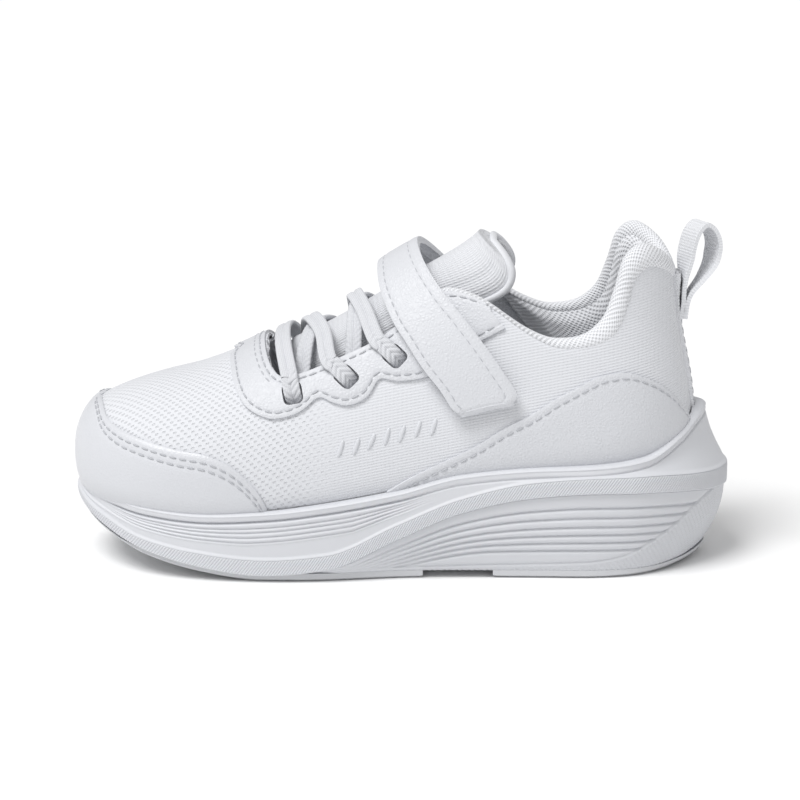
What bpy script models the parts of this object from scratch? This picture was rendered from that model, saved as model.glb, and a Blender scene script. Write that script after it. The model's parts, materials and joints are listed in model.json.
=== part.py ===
"""A child's running shoe: a mesh upper with overlays, elastic laces and one hook-and-loop strap.

Toe towards -X, heel towards +X, lateral (outer) side towards -Y, up +Z. The origin is on the ground at
the middle of the shoe's box. Everything above the sole is laid out on the last, the foot-shaped form the
shoe is made round. A place on the last is (station, girth): station counts the sections from the toe tip
(0) back over the heel and up the ankle (17), girth runs from 0 on the ridge to 1 on the bottom centre
line, positive down the lateral side and negative down the medial side.
"""

import math
from functools import lru_cache

import bmesh
import bpy
import numpy as np

MM = 0.001  # lengths below are millimetres, meshes are metres

# Driving dimensions
SHOE_LENGTH = 210.6  # toe to back of the heel
SHOE_WIDTH = 79.0  # across the ball of the sole
MESH_THICKNESS = 1.0
OVERLAY_THICKNESS = 0.8
LAYER_GAP = 0.8  # between curved skins that lie on each other
FIT_GAP = 0.3  # between pieces that touch
FOAM_JOINT_GAP = 1.2  # between heel wedge and midsole
CUP_CLEARANCE = 0.9  # between the sole's cup and the skins in it
LINING_THICKNESS = 1.0
STIFFENER_THICKNESS = 1.3
COLLAR_PADDING = 4.0
COLLAR_ROLL_RADIUS = 1.9
TONGUE_PADDING = 3.0
TONGUE_SKIN = 0.8
TONGUE_DEPTH = 3.6  # how far the tongue lies under the eyestay
BOARD_THICKNESS = 1.6
SOCKLINER_THICKNESS = 3.4
OUTSOLE_THICKNESS = 2.6
ARCH_FRONT, ARCH_REAR = 8.0, 30.0  # the stretch of sole that no rubber covers
WEDGE_FRONT = -20.0  # where the heel wedge starts
LACE_WIDTH = 5.3
LACE_THICKNESS = 1.0
SLOT_CLEARANCE = 0.5  # each side of a lace in its slot
SLOT_LENGTH = 7.4
STRAP_THICKNESS = 1.4
TAPE_THICKNESS = 0.5  # each half of the hook-and-loop tape
STRAP_SPLIT = 0.8  # gap at the fold of the strap
BACK_STRIP_WIDTH = 10.0
WEBBING_THICKNESS = 1.0
LOOP_WIDTH = 9.0

# Offsets from the last, worked out from the layers
OVERLAY_INNER = MESH_THICKNESS + LAYER_GAP
OVERLAY_OUTER = OVERLAY_INNER + OVERLAY_THICKNESS
CUP_OFFSET = OVERLAY_OUTER + CUP_CLEARANCE  # inner wall of the sole's cup
LOOP_TAPE_INNER = OVERLAY_OUTER + FIT_GAP
HOOK_TAPE_INNER = LOOP_TAPE_INNER + TAPE_THICKNESS + FIT_GAP
STRAP_INNER = HOOK_TAPE_INNER + TAPE_THICKNESS + FIT_GAP
LINING_OUTER = -0.6  # outer face of what lies right under the mesh
SEAM_SNAP = 0.012  # girths this near the ridge or the bottom line lie on it

# The last: top point, bottom point, half-widths, height share of the widest line, roundness above and below
DRAWN_LENGTH, DRAWN_WIDTH = 210.6, 79.0
LAST = np.array([
    # top x, top z, bottom x, bottom z, lateral, medial, widest, round top, round bottom
    (-102.7, 33.5, -102.7, 33.5, 0.0, 0.0, 0.45, 2.20, 2.2),
    (-101.3, 42.0, -101.3, 25.0, 9.5, 9.5, 0.45, 2.20, 2.3),
    (-96.8, 48.6, -97.2, 20.5, 18.5, 18.5, 0.42, 2.20, 2.6),
    (-88.0, 53.0, -88.5, 18.2, 27.0, 26.5, 0.38, 2.20, 3.0),
    (-76.5, 56.7, -76.0, 16.6, 33.0, 32.5, 0.35, 2.20, 3.2),
    (-63.0, 60.2, -61.0, 15.2, 36.0, 35.5, 0.33, 2.20, 3.3),
    (-50.5, 65.3, -45.0, 15.0, 36.7, 35.8, 0.32, 2.10, 3.3),
    (-38.0, 71.8, -27.0, 16.3, 36.2, 34.3, 0.31, 2.00, 3.2),
    (-25.0, 78.0, -6.0, 19.2, 34.6, 31.5, 0.30, 1.95, 3.1),
    (-11.0, 86.2, 17.0, 23.0, 32.8, 29.2, 0.29, 1.90, 3.0),
    (2.0, 94.2, 43.0, 26.0, 32.0, 29.0, 0.28, 1.90, 3.0),
    (12.0, 100.0, 68.0, 27.0, 31.2, 29.5, 0.28, 1.95, 2.8),
    (19.0, 104.5, 84.0, 29.5, 30.2, 29.3, 0.33, 2.00, 2.5),
    (23.0, 108.0, 92.0, 39.0, 29.0, 28.5, 0.40, 2.10, 2.3),
    (26.0, 112.0, 91.2, 56.0, 27.5, 27.2, 0.45, 2.20, 2.3),
    (28.0, 117.0, 87.4, 76.0, 26.5, 26.5, 0.48, 2.30, 2.3),
    (29.0, 123.0, 85.3, 96.0, 26.0, 26.0, 0.50, 2.30, 2.3),
    (29.5, 130.0, 85.0, 112.0, 26.0, 26.0, 0.50, 2.30, 2.3),
])
LAST_END = len(LAST) - 1

# The sole at stations along its length: half-widths, and the heights of the lines on its side
SOLE = np.array([
    # x, lateral, medial, ground, band bottom, band top, lip top, lip inset, foam joint under the foot
    (-104.3, 0.0, 0.0, 18.0, 20.5, 23.0, 27.8, 0.6, 20.5),
    (-101.0, 13.5, 12.5, 16.0, 18.2, 20.8, 26.6, 0.6, 17.0),
    (-93.0, 24.0, 23.5, 11.8, 13.8, 17.2, 24.6, 0.6, 12.5),
    (-80.0, 33.0, 32.5, 6.6, 8.6, 12.4, 22.6, 0.6, 8.6),
    (-62.0, 38.0, 38.3, 2.4, 4.4, 9.3, 21.6, 0.6, 4.4),
    (-42.0, 39.5, 39.5, 0.0, 2.0, 7.6, 22.6, 0.6, 2.0),
    (-22.0, 39.2, 37.0, 0.0, 3.9, 9.2, 25.0, 0.6, 3.9),
    (0.0, 37.3, 34.3, 0.0, 13.3, 18.6, 28.8, 0.6, 11.0),
    (20.0, 36.2, 33.0, 0.0, 21.8, 26.9, 34.0, 0.8, 15.0),
    (42.0, 36.0, 33.4, 0.0, 26.7, 32.2, 36.2, 1.0, 17.0),
    (62.0, 35.8, 34.0, 0.0, 28.2, 33.8, 37.0, 1.2, 17.5),
    (78.0, 33.2, 32.2, 0.0, 28.0, 34.0, 38.8, 2.0, 18.0),
    (92.0, 25.0, 24.5, 1.0, 26.6, 32.8, 44.6, 4.6, 19.0),
    (101.3, 13.2, 13.0, 2.4, 24.6, 31.4, 49.0, 6.8, 20.0),
    (105.3, 0.0, 0.0, 3.0, 23.6, 31.0, 50.0, 7.6, 20.0),
])
HEEL_ROUND_START = 60.0  # behind this the sole's lower edge rounds up towards the back of the heel

# Edges on the last as pairs of places, (station, girth) above and (station, girth) below
UPPER_RIBS = [
    (0.0, 0.0, 0.0, 1.0), (1.0, 0.0, 1.0, 1.0), (1.6, 0.0, 1.5, 0.93), (2.1, 0.0, 2.0, 0.81),
    (3.0, 0.0, 3.0, 0.745), (4.0, 0.0, 4.0, 0.73), (5.0, 0.0, 5.0, 0.73), (5.9, 0.0, 5.8, 0.73),
    (6.65, 0.0, 6.3, 0.735), (6.68, 0.10, 6.6, 0.74), (6.76, 0.18, 6.85, 0.74), (6.95, 0.25, 7.1, 0.74),
    (7.4, 0.265, 7.5, 0.745), (8.1, 0.257, 8.1, 0.75), (8.8, 0.248, 8.8, 0.757), (9.5, 0.222, 9.5, 0.77),
    (10.1, 0.195, 10.1, 0.785), (10.6, 0.185, 10.5, 0.795), (11.0, 0.21, 10.8, 0.80), (11.4, 0.262, 11.1, 0.81),
    (11.8, 0.35, 11.4, 0.83), (12.2, 0.41, 11.7, 0.845), (12.7, 0.452, 11.9, 0.86), (13.2, 0.492, 12.1, 0.87),
    (13.7, 0.533, 12.25, 0.885), (14.3, 0.58, 12.4, 0.90), (15.0, 0.627, 12.5, 0.92), (15.7, 0.67, 12.6, 0.935),
    (16.1, 0.74, 12.7, 0.95), (16.1, 0.83, 12.8, 0.968), (15.95, 0.92, 12.87, 0.985), (15.85, 1.0, 12.9, 1.0),
]
TOE_OVERLAY_RIBS = [
    (0.0, 0.0, 0.0, 1.0), (1.0, 0.0, 1.0, 1.0), (1.6, 0.0, 1.5, 0.93), (2.05, 0.0, 1.9, 0.83),
    (2.2, 0.1, 2.2, 0.785), (2.55, 0.26, 2.6, 0.76), (3.1, 0.343, 3.1, 0.742), (3.77, 0.391, 3.77, 0.73),
    (4.5, 0.425, 4.5, 0.73), (5.18, 0.448, 5.15, 0.73), (5.64, 0.483, 5.6, 0.73), (5.95, 0.527, 5.9, 0.732),
    (6.19, 0.583, 6.1, 0.735), (6.3, 0.65, 6.25, 0.735),
]
QUARTER_OVERLAY_RIBS = [
    (8.26, 0.666, 8.3, 0.75), (8.63, 0.649, 8.7, 0.757), (9.13, 0.632, 9.1, 0.763), (9.62, 0.612, 9.6, 0.772),
    (10.07, 0.585, 10.0, 0.783), (10.48, 0.565, 10.4, 0.793), (11.22, 0.534, 11.0, 0.808), (12.0, 0.53, 11.6, 0.84),
    (12.72, 0.555, 12.0, 0.865), (13.31, 0.617, 12.3, 0.89), (13.6, 0.70, 12.5, 0.92), (13.65, 0.78, 12.65, 0.945),
    (13.5, 0.86, 12.75, 0.96), (13.35, 0.92, 12.82, 0.97),
]
EYESTAY_RIBS = [
    (6.65, 0.0, 6.0, 0.0), (6.67, 0.07, 5.82, 0.055), (6.7, 0.13, 5.86, 0.15), (6.76, 0.19, 5.98, 0.25),
    (6.87, 0.235, 6.2, 0.32), (7.05, 0.263, 6.6, 0.367), (7.25, 0.267, 6.94, 0.378), (7.45, 0.266, 7.28, 0.372),
    (7.65, 0.264, 7.66, 0.348), (7.9, 0.26, 7.92, 0.376), (8.15, 0.257, 8.15, 0.394), (8.45, 0.254, 8.46, 0.388),
    (8.75, 0.25, 8.76, 0.352), (9.05, 0.242, 9.05, 0.374), (9.5, 0.222, 9.5, 0.386), (10.1, 0.195, 10.1, 0.366),
    (10.6, 0.185, 10.6, 0.335), (11.0, 0.21, 11.0, 0.324), (11.3, 0.247, 11.35, 0.32),
]
TOE_RIBS, VAMP_RIBS, HEEL_RIBS = UPPER_RIBS[:6], UPPER_RIBS[:17], UPPER_RIBS[19:]
UPPER_COLUMNS = 8  # cells from an upper edge of the upper to its lower edge, shared by what lies under it
FOAM_SHARE, COUNTER_SHARE = 3 / UPPER_COLUMNS, 4 / UPPER_COLUMNS  # where the foam ends, the counter starts
BOARD_RIBS = [
    (1.75, 0.93, 1.75, 1.0), (2.2, 0.835, 2.2, 1.0), (3.0, 0.785, 3.0, 1.0), (4.0, 0.765, 4.0, 1.0),
    (5.0, 0.765, 5.0, 1.0), (6.0, 0.765, 6.0, 1.0), (7.0, 0.775, 7.0, 1.0), (8.0, 0.785, 8.0, 1.0),
    (9.0, 0.795, 9.0, 1.0), (10.0, 0.815, 10.0, 1.0), (11.0, 0.845, 11.0, 1.0), (11.7, 0.88, 11.7, 1.0),
    (12.2, 0.915, 12.2, 1.0), (12.5, 0.955, 12.45, 1.0),
]
TONGUE_RIBS = [  # near side against far side
    (6.95, 0.20, 6.95, -0.20), (7.5, 0.215, 7.5, -0.215), (8.2, 0.215, 8.2, -0.215), (9.0, 0.205, 9.0, -0.205),
    (9.8, 0.20, 9.8, -0.20), (10.6, 0.205, 10.6, -0.205), (11.4, 0.215, 11.4, -0.215), (12.1, 0.215, 12.1, -0.215),
    (12.6, 0.19, 12.6, -0.19), (12.85, 0.14, 12.85, -0.14), (12.95, 0.08, 12.95, -0.08),
]
TONGUE_HALF_GIRTH = 0.215
TONGUE_EDGE_DROP = 3.2  # how much deeper the tongue's edges lie than its middle
STRAP_RIBS = [  # front edge against rear edge, from the free end on the lateral side over the ridge
    (9.72, 0.50, 10.52, 0.503), (9.64, 0.487, 10.64, 0.487), (9.60, 0.431, 10.65, 0.43), (9.51, 0.367, 10.64, 0.36),
    (9.44, 0.288, 10.58, 0.275), (9.38, 0.218, 10.5, 0.207), (9.40, 0.12, 10.46, 0.13), (9.49, 0.041, 10.5, 0.05),
    (9.58, -0.04, 10.58, -0.035), (9.66, -0.13, 10.66, -0.125), (9.72, -0.22, 10.72, -0.215),
    (9.76, -0.30, 10.76, -0.30),
]
STRAP_END_RIB = (9.78, -0.43, 10.78, -0.43)  # where the anchor ends, low on the medial side
HOOK_PATCH_SHARE = (0.04, 0.34)  # stretch of the strap with hook tape, from its free end
LOOP_PATCH_RIBS = [
    (9.86, 0.472, 10.5, 0.474), (9.82, 0.43, 10.52, 0.43), (9.74, 0.367, 10.5, 0.36), (9.7, 0.31, 10.44, 0.30),
]
BAR_BOW = 0.1  # how far the front lace bows towards the toe, in stations
LACE_SLOTS = [(7.18, 0.318), (8.24, 0.316), (9.14, 0.306)]  # from the toe up, on each side
COLLAR_ROLL_START, COLLAR_ROLL_END = 16.6, 31.0  # where the roll runs, counted in ribs of the upper

# The pull loop in side view, from its outer root over the top to its inner root
PULL_LOOP_PATH = [
    (92.9, 84.6), (95.9, 88.6), (99.3, 94.8), (100.3, 100.4), (98.6, 105.0), (95.4, 107.2),
    (92.4, 104.6), (91.0, 99.6), (90.9, 93.2), (91.1, 87.4), (91.2, 84.8),
]
LOOP_PIVOT = (91.9, 84.0)

WHITE = (0.86, 0.87, 0.88)


def add_collection(name):
    collection = bpy.data.collections.new(name)
    bpy.context.scene.collection.children.link(collection)
    return collection


def make_material(name, colour, roughness):
    material = bpy.data.materials.new(name)
    material.use_nodes = True
    shader = material.node_tree.nodes["Principled BSDF"]
    shader.inputs["Base Color"].default_value = (*colour, 1.0)
    shader.inputs["Roughness"].default_value = roughness
    shader.inputs["Metallic"].default_value = 0.0
    return material


def add_object(name, mesh, colour=WHITE, roughness=0.6):
    body = bpy.data.objects.new(name, mesh)
    PARTS.objects.link(body)
    mesh.materials.append(make_material(name, colour, roughness))
    mesh.shade_smooth()
    mesh.set_sharp_from_angle(angle=math.radians(40))
    return body


def as_cutter(body):
    """Moves an object to the cutters' collection, out of the render."""
    PARTS.objects.unlink(body)
    CUTTERS.objects.link(body)
    body.hide_render = True
    body.display_type = "WIRE"
    return body


def cut(body, cutter, operation="DIFFERENCE"):
    modifier = body.modifiers.new("Cut " + cutter.name, "BOOLEAN")
    modifier.operation = operation
    modifier.solver = "EXACT"
    modifier.object = cutter


def settle_cuts(body, merge=0.04):
    """Applies a body's cuts, and joins the points that they leave almost on each other."""
    mesh = bpy.data.meshes.new_from_object(body.evaluated_get(bpy.context.evaluated_depsgraph_get()))
    body.modifiers.clear()
    builder = bmesh.new()
    builder.from_mesh(mesh)
    bmesh.ops.triangulate(builder, faces=builder.faces)
    bmesh.ops.remove_doubles(builder, verts=builder.verts, dist=merge * MM)
    bmesh.ops.dissolve_degenerate(builder, edges=builder.edges, dist=merge * MM)
    bmesh.ops.triangulate(builder, faces=builder.faces)
    builder.to_mesh(body.data)
    builder.free()
    bpy.data.meshes.remove(mesh)


def smooth_rows(table, t):
    """Rows of a table read at a fractional place t, on a Catmull-Rom curve through them."""
    table = np.asarray(table, float)
    i = min(int(t), len(table) - 2)
    f = t - i
    before = table[i - 1] if i > 0 else 2 * table[0] - table[1]
    after = table[i + 2] if i + 2 < len(table) else 2 * table[-1] - table[-2]
    start, end = table[i], table[i + 1]
    return 0.5 * (
        2 * start + (end - before) * f + (2 * before - 5 * start + 4 * end - after) * f**2
        + (3 * start - before - 3 * end + after) * f**3
    )


def steady_line(xs, ys, x):
    """A smooth line through the points (xs, ys) that never swings past them."""
    xs, ys = np.asarray(xs, float), np.asarray(ys, float)
    slopes = np.diff(ys) / np.diff(xs)
    tangents = np.zeros(len(xs))
    tangents[0], tangents[-1] = slopes[0], slopes[-1]
    for i in range(1, len(xs) - 1):
        left, right = slopes[i - 1], slopes[i]
        tangents[i] = 0.0 if left * right <= 0 else 2 * left * right / (left + right)
    i = int(np.clip(np.searchsorted(xs, x) - 1, 0, len(xs) - 2))
    step = xs[i + 1] - xs[i]
    f = min(max((x - xs[i]) / step, 0.0), 1.0)
    return (
        (1 + 2 * f) * (1 - f) ** 2 * ys[i] + f * (1 - f) ** 2 * step * tangents[i]
        + f**2 * (3 - 2 * f) * ys[i + 1] + f**2 * (f - 1) * step * tangents[i + 1]
    )


def ease(value, start, end):
    """0 before start, 1 after end, and a smooth step between them."""
    f = min(max((value - start) / (end - start), 0.0), 1.0)
    return f * f * (3 - 2 * f)


# The last

TURN = np.linspace(0.0, math.pi, 121)


def last_section(station):
    """The tabled section at a station. Before the toe tip the sections mirror, so the tip is round."""
    if station < 1.0:
        tip, first, second = LAST[0], LAST[1], LAST[2]
        before = first.copy()
        before[[1, 3]] = 2 * tip[[1, 3]] - first[[1, 3]]
        before[[4, 5]] = -first[[4, 5]]
        return smooth_rows([before, tip, first, second], 1.0 + station)
    return smooth_rows(LAST, station)


@lru_cache(maxsize=None)
def half_ring(station, side):
    """Points down one side of a section, from the ridge to the bottom, and their distances along it."""
    top_x, top_z, bottom_x, bottom_z, lateral, medial, widest, round_top, round_bottom = last_section(station)
    power = np.where(TURN < math.pi / 2, 2 / round_top, 2 / round_bottom)
    rise = np.abs(np.cos(TURN)) ** power
    out = np.abs(np.sin(TURN)) ** power
    share = np.where(TURN < math.pi / 2, widest + (1 - widest) * rise, widest - widest * rise)
    width = -lateral if side > 0 else medial
    points = np.stack([
        (bottom_x + (top_x - bottom_x) * share) * SHOE_LENGTH / DRAWN_LENGTH,
        width * out * SHOE_WIDTH / DRAWN_WIDTH,
        bottom_z + (top_z - bottom_z) * share,
    ], -1)
    along = np.concatenate([[0.0], np.cumsum(np.linalg.norm(np.diff(points, axis=0), axis=1))])
    return points, along


def last_point(station, girth):
    station = min(max(station, 0.0), LAST_END)
    points, along = half_ring(round(station, 5), 1 if girth >= 0 else -1)
    reach = min(abs(girth), 1.0) * along[-1]
    return np.array([np.interp(reach, along, points[:, axis]) for axis in range(3)])


def last_normal(station, girth):
    if station < 0.05:
        return np.array([-1.0, 0.0, 0.0])
    ahead = last_point(station + 0.03, girth) - last_point(station - 0.03, girth)
    if abs(girth) > 0.995:  # across the bottom line, from one side to the other
        around = last_point(station, -0.99) - last_point(station, 0.99)
    else:
        around = last_point(station, girth + 0.006) - last_point(station, girth - 0.006)
    normal = np.cross(around, ahead)
    return normal / np.linalg.norm(normal)


def on_last(station, girth, offset):
    return last_point(station, girth) + last_normal(station, girth) * offset


# Skins laid on the last


def grid_mesh(name, rows, merge=0.02):
    """An open surface through rows of points, all of one length. Points that meet are joined."""
    mesh = bpy.data.meshes.new(name)
    builder = bmesh.new()
    grid = [[builder.verts.new(point * MM) for point in row] for row in rows]
    for upper, lower in zip(grid, grid[1:]):
        for i in range(len(upper) - 1):
            builder.faces.new((upper[i], upper[i + 1], lower[i + 1], lower[i]))
    bmesh.ops.remove_doubles(builder, verts=builder.verts, dist=merge * MM)
    bmesh.ops.recalc_face_normals(builder, faces=builder.faces)
    builder.to_mesh(mesh)
    builder.free()
    return mesh


def keep_to_side(girth, low, high):
    """Holds a girth within its band, and snaps it to the ridge or the bottom line where it nearly meets them."""
    girth = min(max(girth, low), high)
    for line in (-1.0, 0.0, 1.0):
        if line in (low, high) and abs(girth - line) < SEAM_SNAP:
            return line
    return girth


def skin_rows(ribs, row_count, column_count, offset):
    """Rows of points across a band of the last, each from the band's upper edge to its lower edge."""
    girths = [girth for rib in ribs for girth in (rib[1], rib[3])]
    low, high = (0.0 if min(girths) >= 0 else -1.0), (0.0 if max(girths) <= 0 else 1.0)
    rows = []
    for i in range(row_count + 1):
        rib = smooth_rows(ribs, i * (len(ribs) - 1) / row_count)
        start_girth, end_girth = keep_to_side(rib[1], low, high), keep_to_side(rib[3], low, high)
        row = []
        for j in range(column_count + 1):
            share = j / column_count
            station = rib[0] + (rib[2] - rib[0]) * share
            girth = start_girth + (end_girth - start_girth) * share
            row.append(on_last(station, girth, offset(station, girth, share)))
        rows.append(row)
    return rows


def mirrored_ribs(ribs):
    return [(a, -b, c, -d) for a, b, c, d in ribs]


def face_outwards(mesh):
    """Turns a skin so that its faces look away from the middle of the shoe."""
    inward = 0
    for face in mesh.polygons:
        middle = np.array(face.center) / MM
        core = np.array([middle[0], 0.0, 45.0])
        inward += face.area * (np.dot(np.array(face.normal), middle - core) < 0)
    if inward > sum(face.area for face in mesh.polygons) / 2:
        mesh.flip_normals()


def join_meshes(name, meshes, merge=0.02):
    builder = bmesh.new()
    for mesh in meshes:
        builder.from_mesh(mesh)
        bpy.data.meshes.remove(mesh)
    bmesh.ops.remove_doubles(builder, verts=builder.verts, dist=merge * MM)
    bmesh.ops.recalc_face_normals(builder, faces=builder.faces)
    joined = bpy.data.meshes.new(name)
    builder.to_mesh(joined)
    builder.free()
    return joined


def add_skin(name, rib_sets, counts, inner, thickness, colour=WHITE, roughness=0.6):
    """A skin of even thickness on the last, over one or more bands that meet edge to edge.

    inner is the offset of its inner face from the last, a number or a function of (station, girth, share).
    """
    offset = inner if callable(inner) else (lambda station, girth, share: inner)
    meshes = [grid_mesh(name, skin_rows(ribs, *counts, offset)) for ribs in rib_sets]
    mesh = join_meshes(name, meshes)
    face_outwards(mesh)
    body = add_object(name, mesh, colour, roughness)
    thicken(body, thickness)
    return body


def thicken(body, thickness, side=1.0):
    modifier = body.modifiers.new("Thickness", "SOLIDIFY")
    modifier.thickness = thickness * MM
    modifier.offset = side
    modifier.use_even_offset = False
    return modifier


def both_sides(ribs):
    return [ribs, mirrored_ribs(ribs)]


# The sole

SOLE_PER_STATION = 2


def sole_outline():
    """The sole's plan outline with the values of its side lines at each point, lateral side first."""
    count = len(SOLE)
    loop = []
    for i in range(count):
        loop.append((SOLE[i][0], -SOLE[i][1], i))
    for i in range(count - 2, 0, -1):
        loop.append((SOLE[i][0], SOLE[i][2], i))
    points = np.array([(x * SHOE_LENGTH / DRAWN_LENGTH, y * SHOE_WIDTH / DRAWN_WIDTH) for x, y, _ in loop])
    total = len(loop)
    outline = []
    for step in range(total * SOLE_PER_STATION):
        i, f = divmod(step / SOLE_PER_STATION, 1.0)
        around = [points[(int(i) + shift) % total] for shift in (-1, 0, 1, 2)]
        outline.append(smooth_rows(around, 1.0 + f))
    return np.array(outline)


def sole_line(column, x):
    return steady_line(SOLE[:, 0] * SHOE_LENGTH / DRAWN_LENGTH, SOLE[:, column], x)


def heel_share(x):
    """0 along the shoe and 1 at the back of the heel, where the sole's lower edge is rounded."""
    start = HEEL_ROUND_START * SHOE_LENGTH / DRAWN_LENGTH
    return ease(x, start, SHOE_LENGTH / 2)


def sole_ring(outline, inset, height):
    """One ring round the sole. inset and height are functions of the place x along the shoe."""
    ahead = np.roll(outline, -1, axis=0) - np.roll(outline, 1, axis=0)
    normals = np.stack([ahead[:, 1], -ahead[:, 0]], -1) / np.linalg.norm(ahead, axis=1)[:, None]
    normals *= -1 if normals[0][0] > 0 else 1
    ring = []
    for (x, y), normal in zip(outline, normals):
        ring.append(np.array([x - normal[0] * inset(x), y - normal[1] * inset(x), height(x)]))
    return ring


def spine_ring(outline, end_inset, height):
    """The ring drawn in to the centre line, where its two sides meet."""
    half = SHOE_LENGTH / 2 - end_inset
    return [np.array([np.clip(x, -half, half), 0.0, height(np.clip(x, -half, half))]) for x, _ in outline]


def ring_body(name, rings):
    """A closed body from rings that start and end on the centre line."""
    mesh = bpy.data.meshes.new(name)
    builder = bmesh.new()
    layers = [[builder.verts.new(point * MM) for point in ring] for ring in rings]
    for lower, upper in zip(layers, layers[1:]):
        for i in range(len(lower)):
            j = (i + 1) % len(lower)
            builder.faces.new((lower[i], lower[j], upper[j], upper[i]))
    bmesh.ops.remove_doubles(builder, verts=builder.verts, dist=0.002 * MM)
    bmesh.ops.dissolve_degenerate(builder, edges=builder.edges, dist=0.002 * MM)
    bmesh.ops.recalc_face_normals(builder, faces=builder.faces)
    builder.to_mesh(mesh)
    builder.free()
    return mesh


def add_cube(name):
    bpy.ops.mesh.primitive_cube_add(size=1.0)
    cube = bpy.context.object
    cube.name = name
    for collection in list(cube.users_collection):
        collection.objects.unlink(cube)
    PARTS.objects.link(cube)
    return cube


def add_box(name, low, high):
    box = add_cube(name)
    box.location = [(a + b) / 2 * MM for a, b in zip(low, high)]
    box.scale = [(b - a) * MM for a, b in zip(low, high)]
    return as_cutter(box)


def add_sole(outline):
    """Forefoot and heel outsole, heel wedge and midsole, stacked with a fitting gap between them."""
    def ground(x):
        return sole_line(3, x)

    def band_bottom(x):
        return sole_line(4, x)

    def band_top(x):
        return sole_line(5, x)

    def lip(x):
        return sole_line(6, x)

    def lip_inset(x):
        return sole_line(7, x)

    def core(x):
        return min(sole_line(8, x), band_bottom(x))

    def rubber_top(x):
        return min(ground(x) + OUTSOLE_THICKNESS, core(x) - FIT_GAP)

    def rubber_inset(x):
        return 1.6 + 5.2 * heel_share(x)

    def wedge_bottom(x):
        return rubber_top(x) + FIT_GAP

    def wedge_top(x, height):
        return max(height(x) - FOAM_JOINT_GAP, wedge_bottom(x) + 0.4)

    def wedge_side(x, share):
        return wedge_bottom(x) + (wedge_top(x, band_bottom) - wedge_bottom(x)) * share

    length = SHOE_LENGTH / DRAWN_LENGTH

    rubber = [
        spine_ring(outline, 14.0, ground),
        sole_ring(outline, lambda x: rubber_inset(x) + 1.5 + 3.5 * heel_share(x), ground),
        sole_ring(outline, lambda x: rubber_inset(x) + 0.2 + 0.8 * heel_share(x),
                  lambda x: ground(x) + 0.6 + 0.9 * heel_share(x)),
        sole_ring(outline, rubber_inset, rubber_top),
        spine_ring(outline, 14.0, rubber_top),
    ]
    spans = {
        "outsole_forefoot": (-SHOE_LENGTH, ARCH_FRONT * length),
        "outsole_heel": (ARCH_REAR * length, SHOE_LENGTH),
    }
    for name, (front, rear) in spans.items():
        body = add_object(name, ring_body(name, rubber), (0.80, 0.80, 0.80), 0.75)
        cut(body, add_box(name + "_span", (front, -99, -9), (rear, 99, 99)), "INTERSECT")

    # Wedge and midsole meet on a joint that runs in level from the side and then drops under the foot
    joint = [(1.0, band_bottom), (4.5, band_bottom), (9.5, core)]
    wedge = [
        spine_ring(outline, 14.0, wedge_bottom),
        sole_ring(outline, rubber_inset, wedge_bottom),
        sole_ring(outline, lambda x: 1.2 + 2.2 * heel_share(x), lambda x: wedge_side(x, 0.28)),
        sole_ring(outline, lambda x: 0.9 + 0.2 * heel_share(x), lambda x: wedge_side(x, 0.62)),
    ]
    for inset, height in joint:
        wedge.append(sole_ring(outline, lambda x, inset=inset: inset, lambda x, height=height: wedge_top(x, height)))
    wedge.append(spine_ring(outline, 16.0, lambda x: wedge_top(x, core)))
    body = add_object("heel_wedge", ring_body("heel_wedge", wedge), (0.84, 0.85, 0.86), 0.6)
    cut(body, add_box("heel_wedge_span", (WEDGE_FRONT * length, -99, -9), (SHOE_LENGTH, 99, 99)), "INTERSECT")

    cup = [spine_ring(outline, 16.0, core)]
    for inset, height in reversed(joint):
        cup.append(sole_ring(outline, lambda x, inset=inset: inset, height))
    cup += [
        sole_ring(outline, lambda x: 0.0, lambda x: band_bottom(x) + 0.8),
        sole_ring(outline, lambda x: 0.0, lambda x: band_top(x) - 0.5),
        sole_ring(outline, lambda x: 0.9 + 0.4 * (lip_inset(x) - 0.6), lambda x: band_top(x) + 1.0),
        sole_ring(outline, lambda x: lip_inset(x) - 0.2, lambda x: (band_top(x) + 3 * lip(x)) / 4 - 0.6),
        sole_ring(outline, lambda x: lip_inset(x), lambda x: lip(x) - 0.9),
        sole_ring(outline, lambda x: lip_inset(x) + 1.1, lip),
        sole_ring(outline, lambda x: lip_inset(x) + 6.0, lip),
        spine_ring(outline, 20.0, lip),
    ]
    midsole = add_object("midsole", ring_body("midsole", cup), (0.86, 0.87, 0.88), 0.55)
    cut(midsole, add_last_cutter())
    settle_cuts(midsole)


def add_last_cutter():
    """The shod last as a closed form, which hollows the sole's cup."""
    stations = [0.0, 0.5] + [1.0 + 0.5 * i for i in range(2 * LAST_END - 1)]
    columns = 16
    rows = []
    for station in stations:
        lateral = [on_last(station, j / columns, CUP_OFFSET) for j in range(columns + 1)]
        medial = [on_last(station, -j / columns, CUP_OFFSET) for j in range(columns - 1, 0, -1)]
        rows.append(lateral + medial)
    mesh = bpy.data.meshes.new("last_cutter")
    builder = bmesh.new()
    grid = [[builder.verts.new(point * MM) for point in row] for row in rows]
    for upper, lower in zip(grid, grid[1:]):
        for i in range(len(upper)):
            j = (i + 1) % len(upper)
            builder.faces.new((upper[i], upper[j], lower[j], lower[i]))
    builder.faces.new(grid[-1])
    bmesh.ops.remove_doubles(builder, verts=builder.verts, dist=0.01 * MM)
    bmesh.ops.recalc_face_normals(builder, faces=builder.faces)
    builder.to_mesh(mesh)
    builder.free()
    return as_cutter(add_object("last_cutter", mesh))


# The upper


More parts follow.
